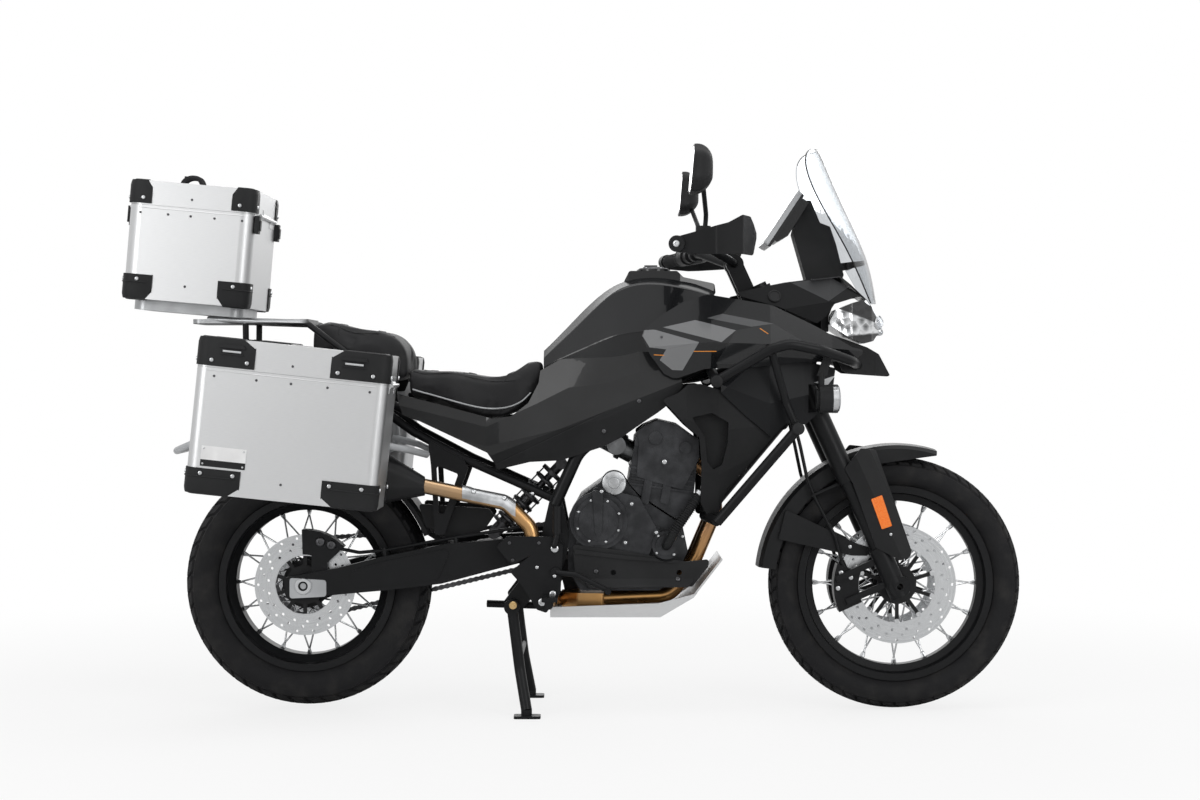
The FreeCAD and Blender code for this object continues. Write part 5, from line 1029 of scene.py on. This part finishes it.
def swell(pad):
    """Blows a pad up from inside as cloth under pressure."""
    cloth = pad.modifiers.new("cover", "CLOTH")
    for key, value in CLOTH.items():
        setattr(cloth.settings, key, value)
    cloth.settings.effector_weights.gravity = 0.0
    cloth.point_cache.frame_end = CLOTH_FRAMES
    for number in range(1, CLOTH_FRAMES + 1):
        bpy.context.scene.frame_set(number)
    bake(pad)
    bpy.context.scene.frame_set(1)


def soft_seat(node):
    """A cloth copy of a node, swollen from inside, with no point moving further than FURTHEST_MOVE."""
    mesh = nodes[node].data.copy()
    mesh.name = f"{node}_pad"
    pad = add_object(mesh.name, mesh)
    shrink = pad.modifiers.new("draw_in", "DISPLACE")
    shrink.mid_level, shrink.strength = 1.0, DRAWN_IN
    remesh = pad.modifiers.new("voxels", "REMESH")
    remesh.mode, remesh.voxel_size = "VOXEL", VOXEL
    relax = pad.modifiers.new("relax", "SMOOTH")
    relax.factor, relax.iterations = 0.6, 12
    bake(pad)
    start = [vertex.co.copy() for vertex in pad.data.vertices]
    swell(pad)
    for vertex, origin in zip(pad.data.vertices, start):
        moved = vertex.co - origin
        if moved.length > FURTHEST_MOVE:
            vertex.co = origin + moved * (FURTHEST_MOVE / moved.length)
    pad.modifiers.new("round", "SUBSURF").levels = 1
    bake(pad)
    pad.data.shade_smooth()
    pad.data.materials.clear()
    dress(pad, "seat_cover")
    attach(pad, body_of(node))
    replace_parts(pad, node)
    print(pad.name, len(pad.data.vertices), "points")
    return pad


# %% The cover, and both seats


def grained_cover(name):
    """Black seat vinyl: a cell grain over soft wrinkles, slightly worn to grey in scattered patches."""
    finish = Finish(name, (0.018, 0.018, 0.019), 0.55)
    return finish.surface(finish.noise(6.0, 4.0).step(0.35, 0.8), (0.013, 0.013, 0.014), (0.03, 0.03, 0.031),
                          0.5 + 0.14 * finish.noise(35.0), finish.cells(620.0) * 0.6 + finish.noise(12.0, 2.0),
                          0.35, 0.0009)


keep(grained_cover("seat_cover"))
rider_pad, pillion_pad = soft_seat("rider_seat"), soft_seat("pillion_seat")

# %% Seams and piping
PIPING = ((-428, 836), (-400, 828), (-370, 820), (-340, 811), (-310, 802), (-280, 794), (-250, 788), (-222, 786),
          (-196, 788), (-172, 794), (-150, 806), (-130, 826))
RIDER_EDGE = ((-170, 78), (-220, 98), (-280, 118), (-340, 128), (-400, 130), (-428, 130))
PILLION_EDGE = ((-476, 112), (-520, 112), (-580, 106), (-640, 98), (-680, 90))
bpy.context.view_layer.update()


def over_pad(pad, places):
    """Spots just above a pad, wherever a ray from above meets it."""
    found = [above(pad, x, y) for x, y in places]
    return [point + normal * 0.0008 for point, normal in filter(None, found)]


def seam(name, lines, radius, finish_name):
    shape = bmesh.new()
    for line in lines:
        if len(line) > 2:
            add_tube(shape, smooth_path(line, 3), radius, 6)
    return mounted(name, shape, "chassis", finish_name)


sides = [filter(None, [beside(rider_pad, x, z, side) for x, z in PIPING]) for side in SIDES]
seam("seat_piping", [[point + normal * 0.0012 for point, normal in line] for line in sides], 2.2, "silver_paint")
shares = [step / 8 for step in range(-8, 9)]
channels = [over_pad(rider_pad, [(x + 26 * (1 - share ** 2), 150 * width * share) for share in shares])
            for x, width in ((-200, 0.62), (-300, 0.7), (-400, 0.72))]
channels += [over_pad(pillion_pad, [(x, 118 * share) for share in shares]) for x in (-520, -620)]
for side in SIDES:
    for pad, edge in ((rider_pad, RIDER_EDGE), (pillion_pad, PILLION_EDGE)):
        channels.append(over_pad(pad, [(x, side * y) for x, y in edge]))
seam("seat_seams", channels, 1.1, "trim_black")
print("seams", len(channels))

# %% [markdown]
# ## Luggage fittings
# The three cases are plain sheet boxes with black moulded corners, held by button screws.
# The corners of the lids carry a lashing slot with a steel bar, and rows of small rivets hold the frames inside.
# One class fits any case from its size and the place of its lower front corner.

# %% A case in its own frame


class Case:
    """A case's own millimetre frame: x runs forward to 0 at its front, y across, z up from its floor."""

    def __init__(self, name, place, length, low_y, high_y, split, height):
        self.name, self.place, self.length = name, place, length
        self.faces, self.width = (low_y, high_y), high_y - low_y
        self.split, self.height = split, height
        self.body, self.lid_body = body_of(name), body_of(f"{name}_lid")

    def spot(self, x, y, z):
        return self.place @ at(x, y, z)

    def way(self, x, y, z):
        """A direction, or a push in millimetres."""
        return self.place.to_3x3() @ at(x, y, z)

    def block(self, shape, corners, push):
        add_prism(shape, [self.spot(*corner) for corner in corners], self.way(*push))

    def lug(self, shape, x, y, halves, low, high, out):
        """A block on an end face, with its own half width at its foot and at its top."""
        corners = zip((-halves[0], halves[0], halves[1], -halves[1]), (low, low, high, high))
        self.block(shape, [(x, y + across, z) for across, z in corners], (out, 0, 0))


def case_place(x, z, tilt, side=1):
    """From a case's own frame to the machine; side -1 mirrors it to the right."""
    turned = Matrix.Translation(at(x, 0, z)) @ Matrix.Rotation(math.radians(tilt), 4, "Y")
    return Matrix.Diagonal((1, side, 1, 1)) @ turned


panniers = [Case(f"{label}_pannier", case_place(-489, 546, 6.0, side), 462, 252, 490, 303, 375)
            for side, label in zip(SIDES, ("right", "left"))]
top_case = Case("top_case", case_place(-845, 1042, 5.0), 318, -195, 195, 238, 300)
print("cases", [case.name for case in (*panniers, top_case)])

# %% Corner guards
GUARD_RADIUS, GUARD_FACE, LONG_GUARD = 26, 3.2, 90
LASHING = ((((4, 30), (60, 30), (60, 33), (4, 33)), 4), (((0, 46), (64, 46), (60, 54), (4, 54)), 6))


def corner_path(corner, signs, reach, lift=0.0):
    """The guard's plan, as spots and outward directions: along one face, round the edge, along the next."""
    (x, y), (sx, sy), (along, across) = corner, signs, reach
    spots = [((x - sx * back, y), (0, sy)) for back in (along, along * 0.8, GUARD_RADIUS)]
    for turn in (math.radians(15 * step) for step in range(1, 6)):
        out = (sx * math.sin(turn), sy * math.cos(turn))
        spots.append(((x + (out[0] - sx) * GUARD_RADIUS, y + (out[1] - sy) * GUARD_RADIUS), out))
    spots += [((x, y - sy * back), (sx, 0)) for back in (GUARD_RADIUS, across)]
    return [((px + out[0] * lift, py + out[1] * lift), out) for (px, py), out in spots]


def add_guard(shape, case, corner, signs, reach, edge, open_z, end):
    """end is +1 for a lid corner, which folds over the top, and -1 for one that folds under the floor."""
    section = [(3.4, open_z), (3.4, edge - 12 * end), (1.2, edge - 2 * end), (-9, edge + 3 * end),
               (-24, edge + 3 * end), (-24, edge + 0.4 * end), (0.3, edge + 0.4 * end), (0.3, open_z)]
    cut_back = [(max(out, 0.3), z if z == open_z else z - 19.8 * end) for out, z in section]
    add_rings(shape, [[case.spot(x + ox * out, y + oy * out, z) for out, z in (section if index else cut_back)]
                      for index, ((x, y), (ox, oy)) in enumerate(corner_path(corner, signs, reach))])


print("guard radius", GUARD_RADIUS)

# %% The four corners of a box or a lid


def fit_corners(case, label, body, reach, low, high, end):
    """Guards, screws and lashing bars at the four corners of a box (end -1) or of a lid (+1)."""
    guards, bars, bolts = bmesh.new(), bmesh.new(), []
    long = reach[0] > LONG_GUARD
    for sx in SIDES:
        for sy in SIDES:
            x, y, face = 0 if sx > 0 else -case.length, case.faces[sy > 0], sy * GUARD_FACE
            edge, open_z, screw_z = (high, low, low + 14) if end > 0 else (low, high, high - 12)
            add_guard(guards, case, (x, y), (sx, sy), reach, edge, open_z, end)
            for back in (37, reach[0] - 18) if long else (37,):
                bolts.append((case.spot(x - sx * back, y + face, screw_z), case.way(0, sy, 0)))
            bolts.append((case.spot(x + sx * GUARD_FACE, y - sy * 29, screw_z), case.way(sx, 0, 0)))
            if end > 0 and long:
                add_tube(bars, [case.spot(x - sx * back, y + sy * 4.6, low + 38) for back in (62, 106)], 3.2, 8)
                for outline, out in LASHING:
                    corners = [(x - sx * (52 + back), y + face, low + up) for back, up in outline]
                    case.block(guards, corners, (0, sy * out, 0))
            if end < 0:
                ridge = corner_path((x, y), (sx, sy), (reach[0] - 14, reach[1] - 8), 3.6)
                add_tube(guards, [case.spot(*spot, high - 20) for spot, _ in ridge], 2.2, 6)
    mounted(f"{label}_guards", guards, body, "trim_black")
    if bars.verts:
        mounted(f"{label}_slot_bars", bars, body)
    screws(f"{label}_screws", body, bolts, 5.2)


print("guards come with their screws")

# %% Rivets and bead


def fit_rivets(case):
    rivets, lid_rivets = [], []
    for sign, face in zip(SIDES, case.faces):
        for share, z in ((0.09, 0), (0.31, 0), (0.5, 0), (0.68, 0), (0.9, 0), (0.5, 40)):
            rivets.append((case.spot(-case.length * share, face, z or case.split - 20), case.way(0, sign, 0)))
        lid_rivets.append((case.spot(-case.length * 0.5, face, case.split + 22), case.way(0, sign, 0)))
    for share in (0.25, 0.75):
        for z in (60, case.split * 0.5, case.split - 24):
            rivets.append((case.spot(-case.length, case.faces[0] + case.width * share, z), case.way(-1, 0, 0)))
    screws(f"{case.name}_rivets", case.body, rivets, 3.2, "dark_steel")
    screws(f"{case.name}_lid_rivets", case.lid_body, lid_rivets, 3.2, "dark_steel")


def fit_bead(case):
    """A thin pressed line under the lid's edge, on three faces."""
    shape, (low, high), back = bmesh.new(), case.faces, -case.length
    for ends in (((-26, low), (back + 26, low)), ((-26, high), (back + 26, high)),
                 ((back, low + 26), (back, high - 26))):
        add_tube(shape, [case.spot(x, y, case.split - 7) for x, y in ends], 1.2, 6)
    mounted(f"{case.name}_bead", shape, case.body, "aluminium")


print("rivets stand in rows")

# %% Latches, and all three cases fitted
WIDE_CASE = 300


def fit_latches(case):
    """One latch on a pannier's rear face; two at each end of the wider top case."""
    latch, hook, (low, high), split = bmesh.new(), bmesh.new(), case.faces, case.split
    wide = case.width > WIDE_CASE
    for share in (-0.3, 0.3) if wide else (0.0,):
        y = (low + high) / 2 + share * case.width
        case.lug(latch, -case.length, y, (21, 21), split - 44, split - 2.5, -13)
        case.lug(latch, -case.length, y, (16, 16), split - 52, split - 40, -9)
        case.lug(hook, -case.length, y, (15, 12), split + 3, split + 22, -7)
    for y in (low + 32, high - 32) if wide else ():
        case.lug(latch, 0, y, (13, 13), split - 48, split - 3, 12)
        case.lug(latch, 0, y, (10, 10), split - 40, split - 14, 15)
    mounted(f"{case.name}_latch", latch, case.body, "trim_black")
    mounted(f"{case.name}_latch_hook", hook, case.lid_body, "trim_black")


PANNIER_GUARDS, TOP_CASE_GUARDS = ((140, 38), (133, 36), 61), ((58, 56), (76, 60), 62)
for case in (*panniers, top_case):
    lid_reach, box_reach, rim = TOP_CASE_GUARDS if case is top_case else PANNIER_GUARDS
    fit_corners(case, case.name, case.body, box_reach, 0, rim, -1)
    fit_corners(case, f"{case.name}_lid", case.lid_body, lid_reach, case.split + 4, case.height, 1)
    fit_rivets(case)
    fit_bead(case)
    fit_latches(case)
    print(case.name, "fitted")

# %% [markdown]
# ## Handle and label plates
# The top case's handle is a rubber-covered strap on two arched cords, and each pannier carries a blank plate.
# The plates are left plain: a reusable machine shows where a label goes and names nobody.

# %% Handle and label plates
strap, labels, bands, pins = bmesh.new(), bmesh.new(), bmesh.new(), []
arch = ((0, 0), (0, 12), (8, 24), (22, 27), (36, 24), (48, 14), (50, 0))
for y in (-16, 16):
    add_tube(strap, smooth_path([top_case.spot(-172 - back, y, 302 + up) for back, up in arch], 4), 6, 8)
top_case.block(strap, [(x, y, 325) for x, y in oblong(-182, -218, -18, 18)], (0, 0, 6))
mounted("top_case_handle", strap, top_case.lid_body, "rubber")
for case in panniers:
    for shape, low, high in ((labels, 82, 115), (bands, 66, 82)):
        case.block(shape, [(x, 490.1, z) for x, z in oblong(-428, -320, low, high)], (0, 1.2, 0))
    pins += [(case.spot(x, 491.2, z), case.way(0, 1, 0)) for x, z in oblong(-422, -326, 72, 109)]
mounted("pannier_label_plates", labels, "chassis", "label_white", smooth=False)
mounted("pannier_label_bands", bands, "chassis", "trim_black", smooth=False)
screws("pannier_label_pins", "chassis", pins, 2.4)

# %% [markdown]
# ## Screws on the flanks
# Every screw sits on the surface it holds: a ray from the side finds that surface and its slope.
# Where several pieces overlap in the view from the side, the outermost one carries the screw.

# %% Screw places
RIGHT = (-1,)
OUTER = "main_frame rear_subframe side_covers crankcase tail_panels footrests pannier_frame swingarm"


def round_spot(x, z, radius, turns):
    """Places on a circle, at turns in degrees."""
    return [(x + radius * math.cos(turn), z + radius * math.sin(turn)) for turn in map(math.radians, turns)]


def flank(names, radius, places, sides):
    """Screw places (point, normal, radius) on the outermost of the named nodes, from (x, z)."""
    found = []
    for side in sides:
        for x, z in places:
            spots = list(filter(None, [beside(nodes[name], x, z, side) for name in names.split()]))
            found.append((*max(spots, key=lambda spot: abs(spot[0].y)), radius))
    return found


print("a ray finds each place")

# %% The screws, group by group
DARK_SCREWS = ("panel_screws", "cover_bolts", "caliper_caps")
SCREW_ROWS = (
    ("engine_screws", "crankcase", 4.6, RIGHT, ((54, 576), (131, 543), (115, 444), (194, 470), (4, 428))),
    ("engine_screws", "crankcase", 3.2, RIGHT, round_spot(46, 500, 56, range(20, 380, 45))),
    ("engine_screws", "crankcase", 3.4, RIGHT, round_spot(219, 437, 31, (40, 130, 220, 310))),
    ("engine_screws", "cylinders", 6.5, RIGHT, ((215, 650),)),
    ("panel_screws", "side_covers", 5.5, SIDES, ((60, 729), (150, 806))),
    ("panel_screws", "side_fairings", 3.4, SIDES, ((205, 968),)),
    ("panel_screws", "belly_covers", 6.0, SIDES, ((40, 371), (249, 351))),
    ("hanger_bolts", "footrests", 11.0, RIGHT, ((-65, 432), (-97, 296))),
    ("hanger_bolts", "footrests", 9.0, RIGHT, ((-70, 317),)),
    ("hanger_bolts", "footrests", 4.6, RIGHT, ((-110, 384), (-65, 363))),
    ("frame_bolts", OUTER, 7.0, RIGHT, ((-124, 567),)),
    ("frame_bolts", OUTER, 4.0, RIGHT, ((262, 457),)),
    ("cover_bolts", OUTER, 4.5, RIGHT, ((-180, 446), (-105, 446), (-172, 402))),
    ("caliper_caps", "rear_caliper", 12.0, RIGHT, ((-668, 444), (-640, 436))),
    ("fork_bolts", "front_calipers", 6.5, SIDES, ((697, 350), (672, 362), (664, 322))),
    ("fork_bolts", "fork_guards", 4.0, SIDES, ((795, 464),)),
    ("fender_bolts", "front_fender", 5.0, SIDES, ((697, 428),)),
)
groups = {}
for name, names, radius, sides, places in SCREW_ROWS:
    _, found = groups.setdefault(name, (body_of(names.split()[0]), []))
    found += flank(names, radius, places, sides)
for name, (body, found) in groups.items():
    screws(name, body, found, 0, "dark_steel" if name in DARK_SCREWS else "steel")

# %% [markdown]
# ## Round covers, plugs and bosses
# The starter's cover is a bright cap with three screws, and plugs close the ends of the crash bars.
# All of them are turned, so one profile about the machine's cross axis makes each.

# %% Round covers, plugs and bosses
bright, dark, knob, boss = bmesh.new(), bmesh.new(), bmesh.new(), bmesh.new()
disc(bright, 86, 139, 596, -1, [(0, 30), (4, 30), (5, 28), (5, 15), (9, 14), (9.5, 12)], 28)
for x, z in round_spot(86, 596, 25, (20, 140, 260)):
    disc(bright, x, 143, z, -1, [(0, 4), (4, 3.6)], 10)
point, normal = beside(nodes["front_cowl"], 493, 1072)
for side in SIDES:
    for x, y, z in ((342, 262, 857), (547, 248, 738)):
        disc(dark, x, y, z, side, [(-1, 14.6), (1.6, 14.6), (2.6, 13)], 24)
    spot, out = (Vector((place.x, side * abs(place.y), place.z)) for place in (point, normal))
    add_lathe(boss, spot - out * 0.003, out, [(0, 17), (7, 16.5), (8, 14.5), (6, 12)], 24)
disc(knob, -171, 178, 287, -1, [(-6, 10), (4, 10), (5, 9), (5, 5), (8, 4.6)], 16)
for name, shape, finish_name in (("starter_cover", bright, "bright_casting"), ("bar_plugs", dark, "trim_black"),
                                 ("stand_knob", knob, "brass"), ("cowl_bosses", boss, "trim_black")):
    mounted(name, shape, "chassis", finish_name)
print("round pieces done")

# %% [markdown]
# ## Hoses, clips and shields
# The coolant hose is corrugated where it bends, and worm clips hold its ends.
# The folds are short lathes set every few millimetres along the hose's own path.

# %% Corrugation and clips
FOLD_PITCH = 0.0052
hose = smooth_path([at(219, -150, 437), at(240, -166, 475), at(273, -158, 523), at(302, -148, 566)], 10)
folds, clips, gone = bmesh.new(), bmesh.new(), 0.0
for here, there in zip(hose, hose[1:]):
    gone += (there - here).length
    if gone > FOLD_PITCH:
        gone = 0.0
        add_lathe(folds, here, there - here, [(0, 11.8), (1, 13.7), (2.4, 13.7), (3.4, 11.8)], 14)
for middle, heading in ((at(231, -161, 458), (0.45, -0.35, 0.82)), (at(302, -148, 566), (0.6, 0.1, 0.75))):
    add_lathe(clips, middle, heading, [(0, 12.6), (0, 13.4), (9, 13.4), (9, 12.6)], 18)
mounted("hose_folds", folds, "chassis", "rubber")
mounted("hose_clips", clips)
print("hose points", len(hose))

# %% [markdown]
# ## Heat shield
# A stamped shield keeps the rider's boot off the hot pipe, and follows its bend at an even gap.
# Rays measure the pipe at each station, so the shield fits whatever the pipe does there.

# %% Heat shield


def sleeve_rings(pipe, start, end, low, high, arc, gap, thick, count=14):
    """Part of a sleeve that follows a pipe: rays from the right find the pipe's height and depth at each x."""
    rings = []
    for x in (start + (end - start) * index / count for index in range(count + 1)):
        spots = [(z, beside(pipe, x, z)) for z in range(low, high, 2)]
        found = [(z, abs(spot[0].y) * 1000) for z, spot in spots if spot and abs(spot[0].y) > 0.1]
        if found:
            heights = [z for z, _ in found]
            half, middle = (max(heights) - min(heights)) / 2 + 1, (max(heights) + min(heights)) / 2
            depth = max(y for _, y in found) - half
            turns = [math.radians(arc[0] + (arc[1] - arc[0]) * step / 9) for step in range(10)]
            ring = [(half + gap + thick, turn) for turn in turns]
            ring += [(half + gap, turn) for turn in reversed(turns)]
            rings.append([at(x, -depth - reach * math.cos(turn), middle + reach * math.sin(turn))
                          for reach, turn in ring])
    return rings


shield, rings = bmesh.new(), sleeve_rings(nodes["exhaust_pipes"], -300, -165, 500, 640, (-25, 115), 1.0, 2.0)
add_rings(shield, rings)
mounted("heat_shield", shield, "chassis", "bright_casting")
screws("heat_shield_screws", "chassis", [(ring[4], ring[4] - ring[15]) for ring in (rings[3], rings[-4])], 6)
print("heat shield stations", len(rings))

# %% [markdown]
# ## Axle ends
# The rear axle is held by a ring nut on a square plate that slides in the swingarm to set the chain.
# Both sit on the swingarm's face, which a ray from the side finds.

# %% Chain adjusters and axle nuts


def add_washer(shape, centre, direction, outer, inner, thick):
    """A turned ring with an open middle."""
    side, up = square_to(Vector(direction))
    section = ((0, inner), (0, outer), (thick * 0.8, outer), (thick, outer * 0.94), (thick, inner), (0, inner))
    rings = [circle(centre + Vector(direction) * along / 1000, side, up, radius / 1000, 24)
             for along, radius in section]
    add_rings(shape, rings, caps=False)
    bmesh.ops.remove_doubles(shape, verts=shape.verts, dist=0.00001)


adjusters, nuts = bmesh.new(), bmesh.new()
for side in SIDES:
    y = abs(beside(nodes["swingarm"], -672, 325, side)[0].y) * 1000
    plate(adjusters, rounded([(-746, 299), (-652, 304), (-652, 346), (-746, 352)], 8), side, y + 1.6, 3.6)
    add_washer(nuts, Vector((rear_axle[0], side * (y + 1.0) / 1000, rear_axle[2])), (0, side, 0), 21, 12.5, 6)
print("adjusters at", round(y, 1), "from the middle")
mounted("axle_adjusters", adjusters, "chassis", "silver_paint", smooth=False)
mounted("axle_nuts", nuts)

# %% [markdown]
# ## Lamps, lenses and glass
# Each lamp is a bright bowl behind a clear dome; the tail lamp and the turn signals are coloured through.

# %% Head, fog and tail lamps
STRIP = ((733, 79, 1064), (752, 66, 1046), (768, 50, 1026), (778, 36, 1004))
bowls, domes, strips, tail, turns = (bmesh.new() for _ in range(5))
for side in SIDES:
    for y, z, radius in ((44, 1008, 19), (30, 985, 12)):
        point, normal = strike(nodes["headlight"], at(1200, side * y, z), (-1, 0, 0))
        add_lathe(bowls, point - normal * 0.004, normal, [(0, radius), (6, radius), (8, radius * 0.86),
                                                          (5, radius * 0.8)], 24)
        add_lathe(domes, point, normal, [(0, radius * 0.78), (6, radius * 0.72), (10, radius * 0.5),
                                         (11.8, radius * 0.2)], 24)
    add_tube(strips, smooth_path([at(x, side * y, z) for x, y, z in STRIP], 4), 4.2, 8)
    front = at(640, side * 176, 812)
    add_lathe(bowls, front, (1, 0, 0), [(0, 36.4), (12.5, 36.4), (14.5, 34.5), (13.2, 32.5), (12.6, 6)], 32)
    add_lathe(domes, front, (1, 0, 0), [(12.8, 33), (16.5, 31.5), (19, 24), (20.5, 11)], 32)
    add_lathe(turns, at(-956, side * 131, 890), (-1, 0, 0), [(0, 17), (8, 17), (12, 14.5), (14, 8)], 20)
lens_outline = rounded([(-966, 913), (-966, 951), (-984, 949), (-989, 918)], 4)
add_prism(tail, [at(x, 0, z) for x, z in lens_outline], at(0, 138, 0), 0.5)
for name, shape, finish_name in (("lamp_bowls", bowls, "steel"), ("lamp_domes", domes, "lamp_glass"),
                                 ("light_strips", strips, "white_light"), ("tail_lens", tail, "red_lens"),
                                 ("turn_lenses", turns, "amber_lens")):
    mounted(name, shape, "chassis", finish_name)
print("lamps lit and glazed")

# %% [markdown]
# ## Mirrors, reflectors and dash
# Mirror glass stands just proud of its housing, and the fork guards carry orange reflectors.
# The dash is a thin rim round one flat screen; all are plates with rounded corners, pushed out a little.

# %% Mirrors and reflectors
MIRROR_SCALE, MIRROR_TILT = 0.9, 0.08
glass, reflectors = bmesh.new(), bmesh.new()
head = [(-84, -46), (-70, 44), (-40, 60), (52, 56), (86, 34), (80, -30), (50, -58), (-50, -60)]
for side in SIDES:
    face = [(y * MIRROR_SCALE, z * MIRROR_SCALE) for y, z in rounded(head, 20)]
    outline = [at(274 + MIRROR_TILT * z, side * (380 + y), 1376 + z) for y, z in face]
    add_prism(glass, outline, at(-1.4, 0, 0), 0.4)
    y = abs(beside(nodes["fork_guards"], 771, 520, side)[0].y) * 1000
    plate(reflectors, rounded([(744, 554), (772, 565), (798, 486), (772, 477)], 3), side, y + 2.2, 9)
mounted("mirror_faces", glass, body_of("mirrors"), "mirror_glass", smooth=False)
mounted("fork_reflectors", reflectors, body_of("fork_guards"), "orange_reflector", smooth=False)
print("fork reflectors at", round(y, 1), "from the middle")

# %% Dash rim and screen
up_face, out_face = Vector((89, 0, 134)) / 160.9, Vector((-134, 0, 89)) / 160.9
for name, edges, corner, lift, thick, finish_name in (
        ("dash_rim", (-1, 163, -94, 94), 7, -9.0, 12.5, "silver_paint"),
        ("dash_screen", (6, 155, -85, 85), 5, 3.5, 1, "display")):
    shape = bmesh.new()
    add_prism(shape, [at(474, y, 1210) + (up_face * along + out_face * lift) / 1000
                      for along, y in rounded(oblong(*edges), corner)], out_face * thick / 1000)
    mounted(name, shape, body_of("dash_display"), finish_name, smooth=False)
print("dash glazed")

# %% [markdown]
# ## Grips and fuel cap
# The grips are moulded in fine rings, and the cap is a turned flange with five screws and a hinged lock cover.
# The rings are real geometry, because they show against the light along the grip's outline.

# %% Grips, bar ends and fuel cap
ribs, ends, cap = bmesh.new(), [], bmesh.new()
for side in SIDES:
    tip, root = at(241, side * 430, 1190), at(318, side * 170, 1198)
    along = (root - tip).normalized()
    for back in (0.012 + step * 0.0042 for step in range(26)):
        add_lathe(ribs, tip + along * back, along, [(0, 16.8), (0.6, 17.8), (2, 17.8), (2.6, 16.8)], 16)
    ends.append((tip - along * 0.0235, -along))
mounted("grip_ribs", ribs, body_of("hand_controls"), "rubber")
screws("bar_end_screws", body_of("hand_guards"), ends, 9)
top, up = above(nodes["fuel_tank"], 190, 0)[0], Vector((0, 0, 1))
add_lathe(cap, top - up * 0.002, up, [(0, 40), (4, 40), (6, 38), (6, 30), (9, 28)], 36)
add_prism(cap, [top + at(x, y, 6) for x, y in rounded(oblong(-24, 10, -7, 7), 5)], up * 0.006)
mounted("fuel_cap", cap, body_of("fuel_tank"), "dark_steel")
turned = [(top + at(34 * math.cos(turn), 34 * math.sin(turn), 3.8), up) for turn in (0.3, 1.56, 2.8, 4.1, 5.3)]
screws("fuel_cap_screws", body_of("fuel_tank"), turned, 2.8)

# %% [markdown]
# ## Floor and sky
# A pale floor runs into a pale backdrop, so the dark machine reads by its outline.
# The paper glows to the camera alone, and a mask of the camera's rays keeps its shadows near the wheels.
# The sky works the same way: it is white to the eye and in reflections, and dimmer as a light.

# %% The floor


def paper_floor(name):
    """Pale paper that stays nearly white to the camera and still takes the machine's shadow."""
    paper = Finish(name, (0.86, 0.86, 0.86), 0.8)
    x, y, _ = paper.axes()
    away = (x * x + y * y).math("SQRT").step(1.3, 3.2)
    seen = paper.node("ShaderNodeLightPath", outlet="Is Camera Ray") * (0.8 + 0.2 * away)
    lit = Field(paper, paper.shader.outputs["BSDF"])
    joined = paper.node("ShaderNodeMixShader", None, {0: seen, 1: lit, 2: paper.node("ShaderNodeEmission")})
    paper.put(paper.tree.nodes["Material Output"].inputs["Surface"], joined)
    return paper.material


FLOOR_REACH = 40
floor_mesh = bpy.data.meshes.new("floor")
floor_mesh.from_pydata([(x, y, 0) for x, y in oblong(-FLOOR_REACH, FLOOR_REACH, -FLOOR_REACH, FLOOR_REACH)], [],
                       [(0, 1, 2, 3)])
floor_mesh.materials.append(paper_floor("floor_white"))
add_object("floor", floor_mesh)
print("floor of", 2 * FLOOR_REACH, "metres")

# %% The sky: white to the camera and in reflections, dimmer as a light
world = bpy.data.worlds.new("studio")
bpy.context.scene.world = world
world.use_nodes = True
sky = Tree(world.node_tree)
background = sky.tree.nodes["Background"]
sky.put(background.inputs["Color"], (1.0, 1.0, 1.0))
white_to = any_of([sky.node("ShaderNodeLightPath", outlet=f"Is {kind} Ray")
                   for kind in ("Camera", "Glossy", "Transmission")])
sky.put(background.inputs["Strength"], sky.node("ShaderNodeMapRange", None, {"Value": white_to, "To Min": 0.45}))
print("sky nodes", len(sky.tree.nodes))

# %% [markdown]
# ## Lamps and camera
# One large lamp overhead draws the long highlights on the gloss panels, two side lamps open the shadows,
# and one on the far side rims the outline.
# The camera stands square to the machine's right side with a long lens, so the wheels stay round.

# %% Lamps


def area_lamp(name, place, target, size, power):
    light = bpy.data.lights.new(name, "AREA")
    light.shape = "RECTANGLE"
    light.size, light.size_y = size
    light.energy = power
    lamp = add_object(name, light)
    lamp.location = place
    lamp.rotation_euler = (Vector(target) - Vector(place)).to_track_quat("-Z", "Y").to_euler()
    print("lamp", name, power, "W")


area_lamp("overhead", (0.2, -0.6, 3.6), (0.0, 0.0, 0.6), (4.2, 1.5), 40)
area_lamp("front_side", (2.6, -3.6, 1.9), (0.3, 0.0, 0.7), (1.2, 2.2), 42)
area_lamp("rear_side", (-2.8, -3.2, 1.7), (-0.4, 0.0, 0.7), (1.2, 2.0), 34)
area_lamp("far_side", (0.0, 4.2, 2.4), (0.0, 0.0, 0.6), (4.0, 1.6), 50)

# %% Camera
camera_data = bpy.data.cameras.new("camera")
camera_data.lens = 64.1
camera_data.sensor_width = 36.0
camera = add_object("camera", camera_data)
camera.location = (0.05, -5.6, 0.885)
camera.rotation_euler = (math.radians(90 - 0.804), 0, 0)
bpy.context.scene.camera = camera
bpy.context.scene.view_settings.view_transform = "Standard"
print("camera", camera_data.lens, "mm")
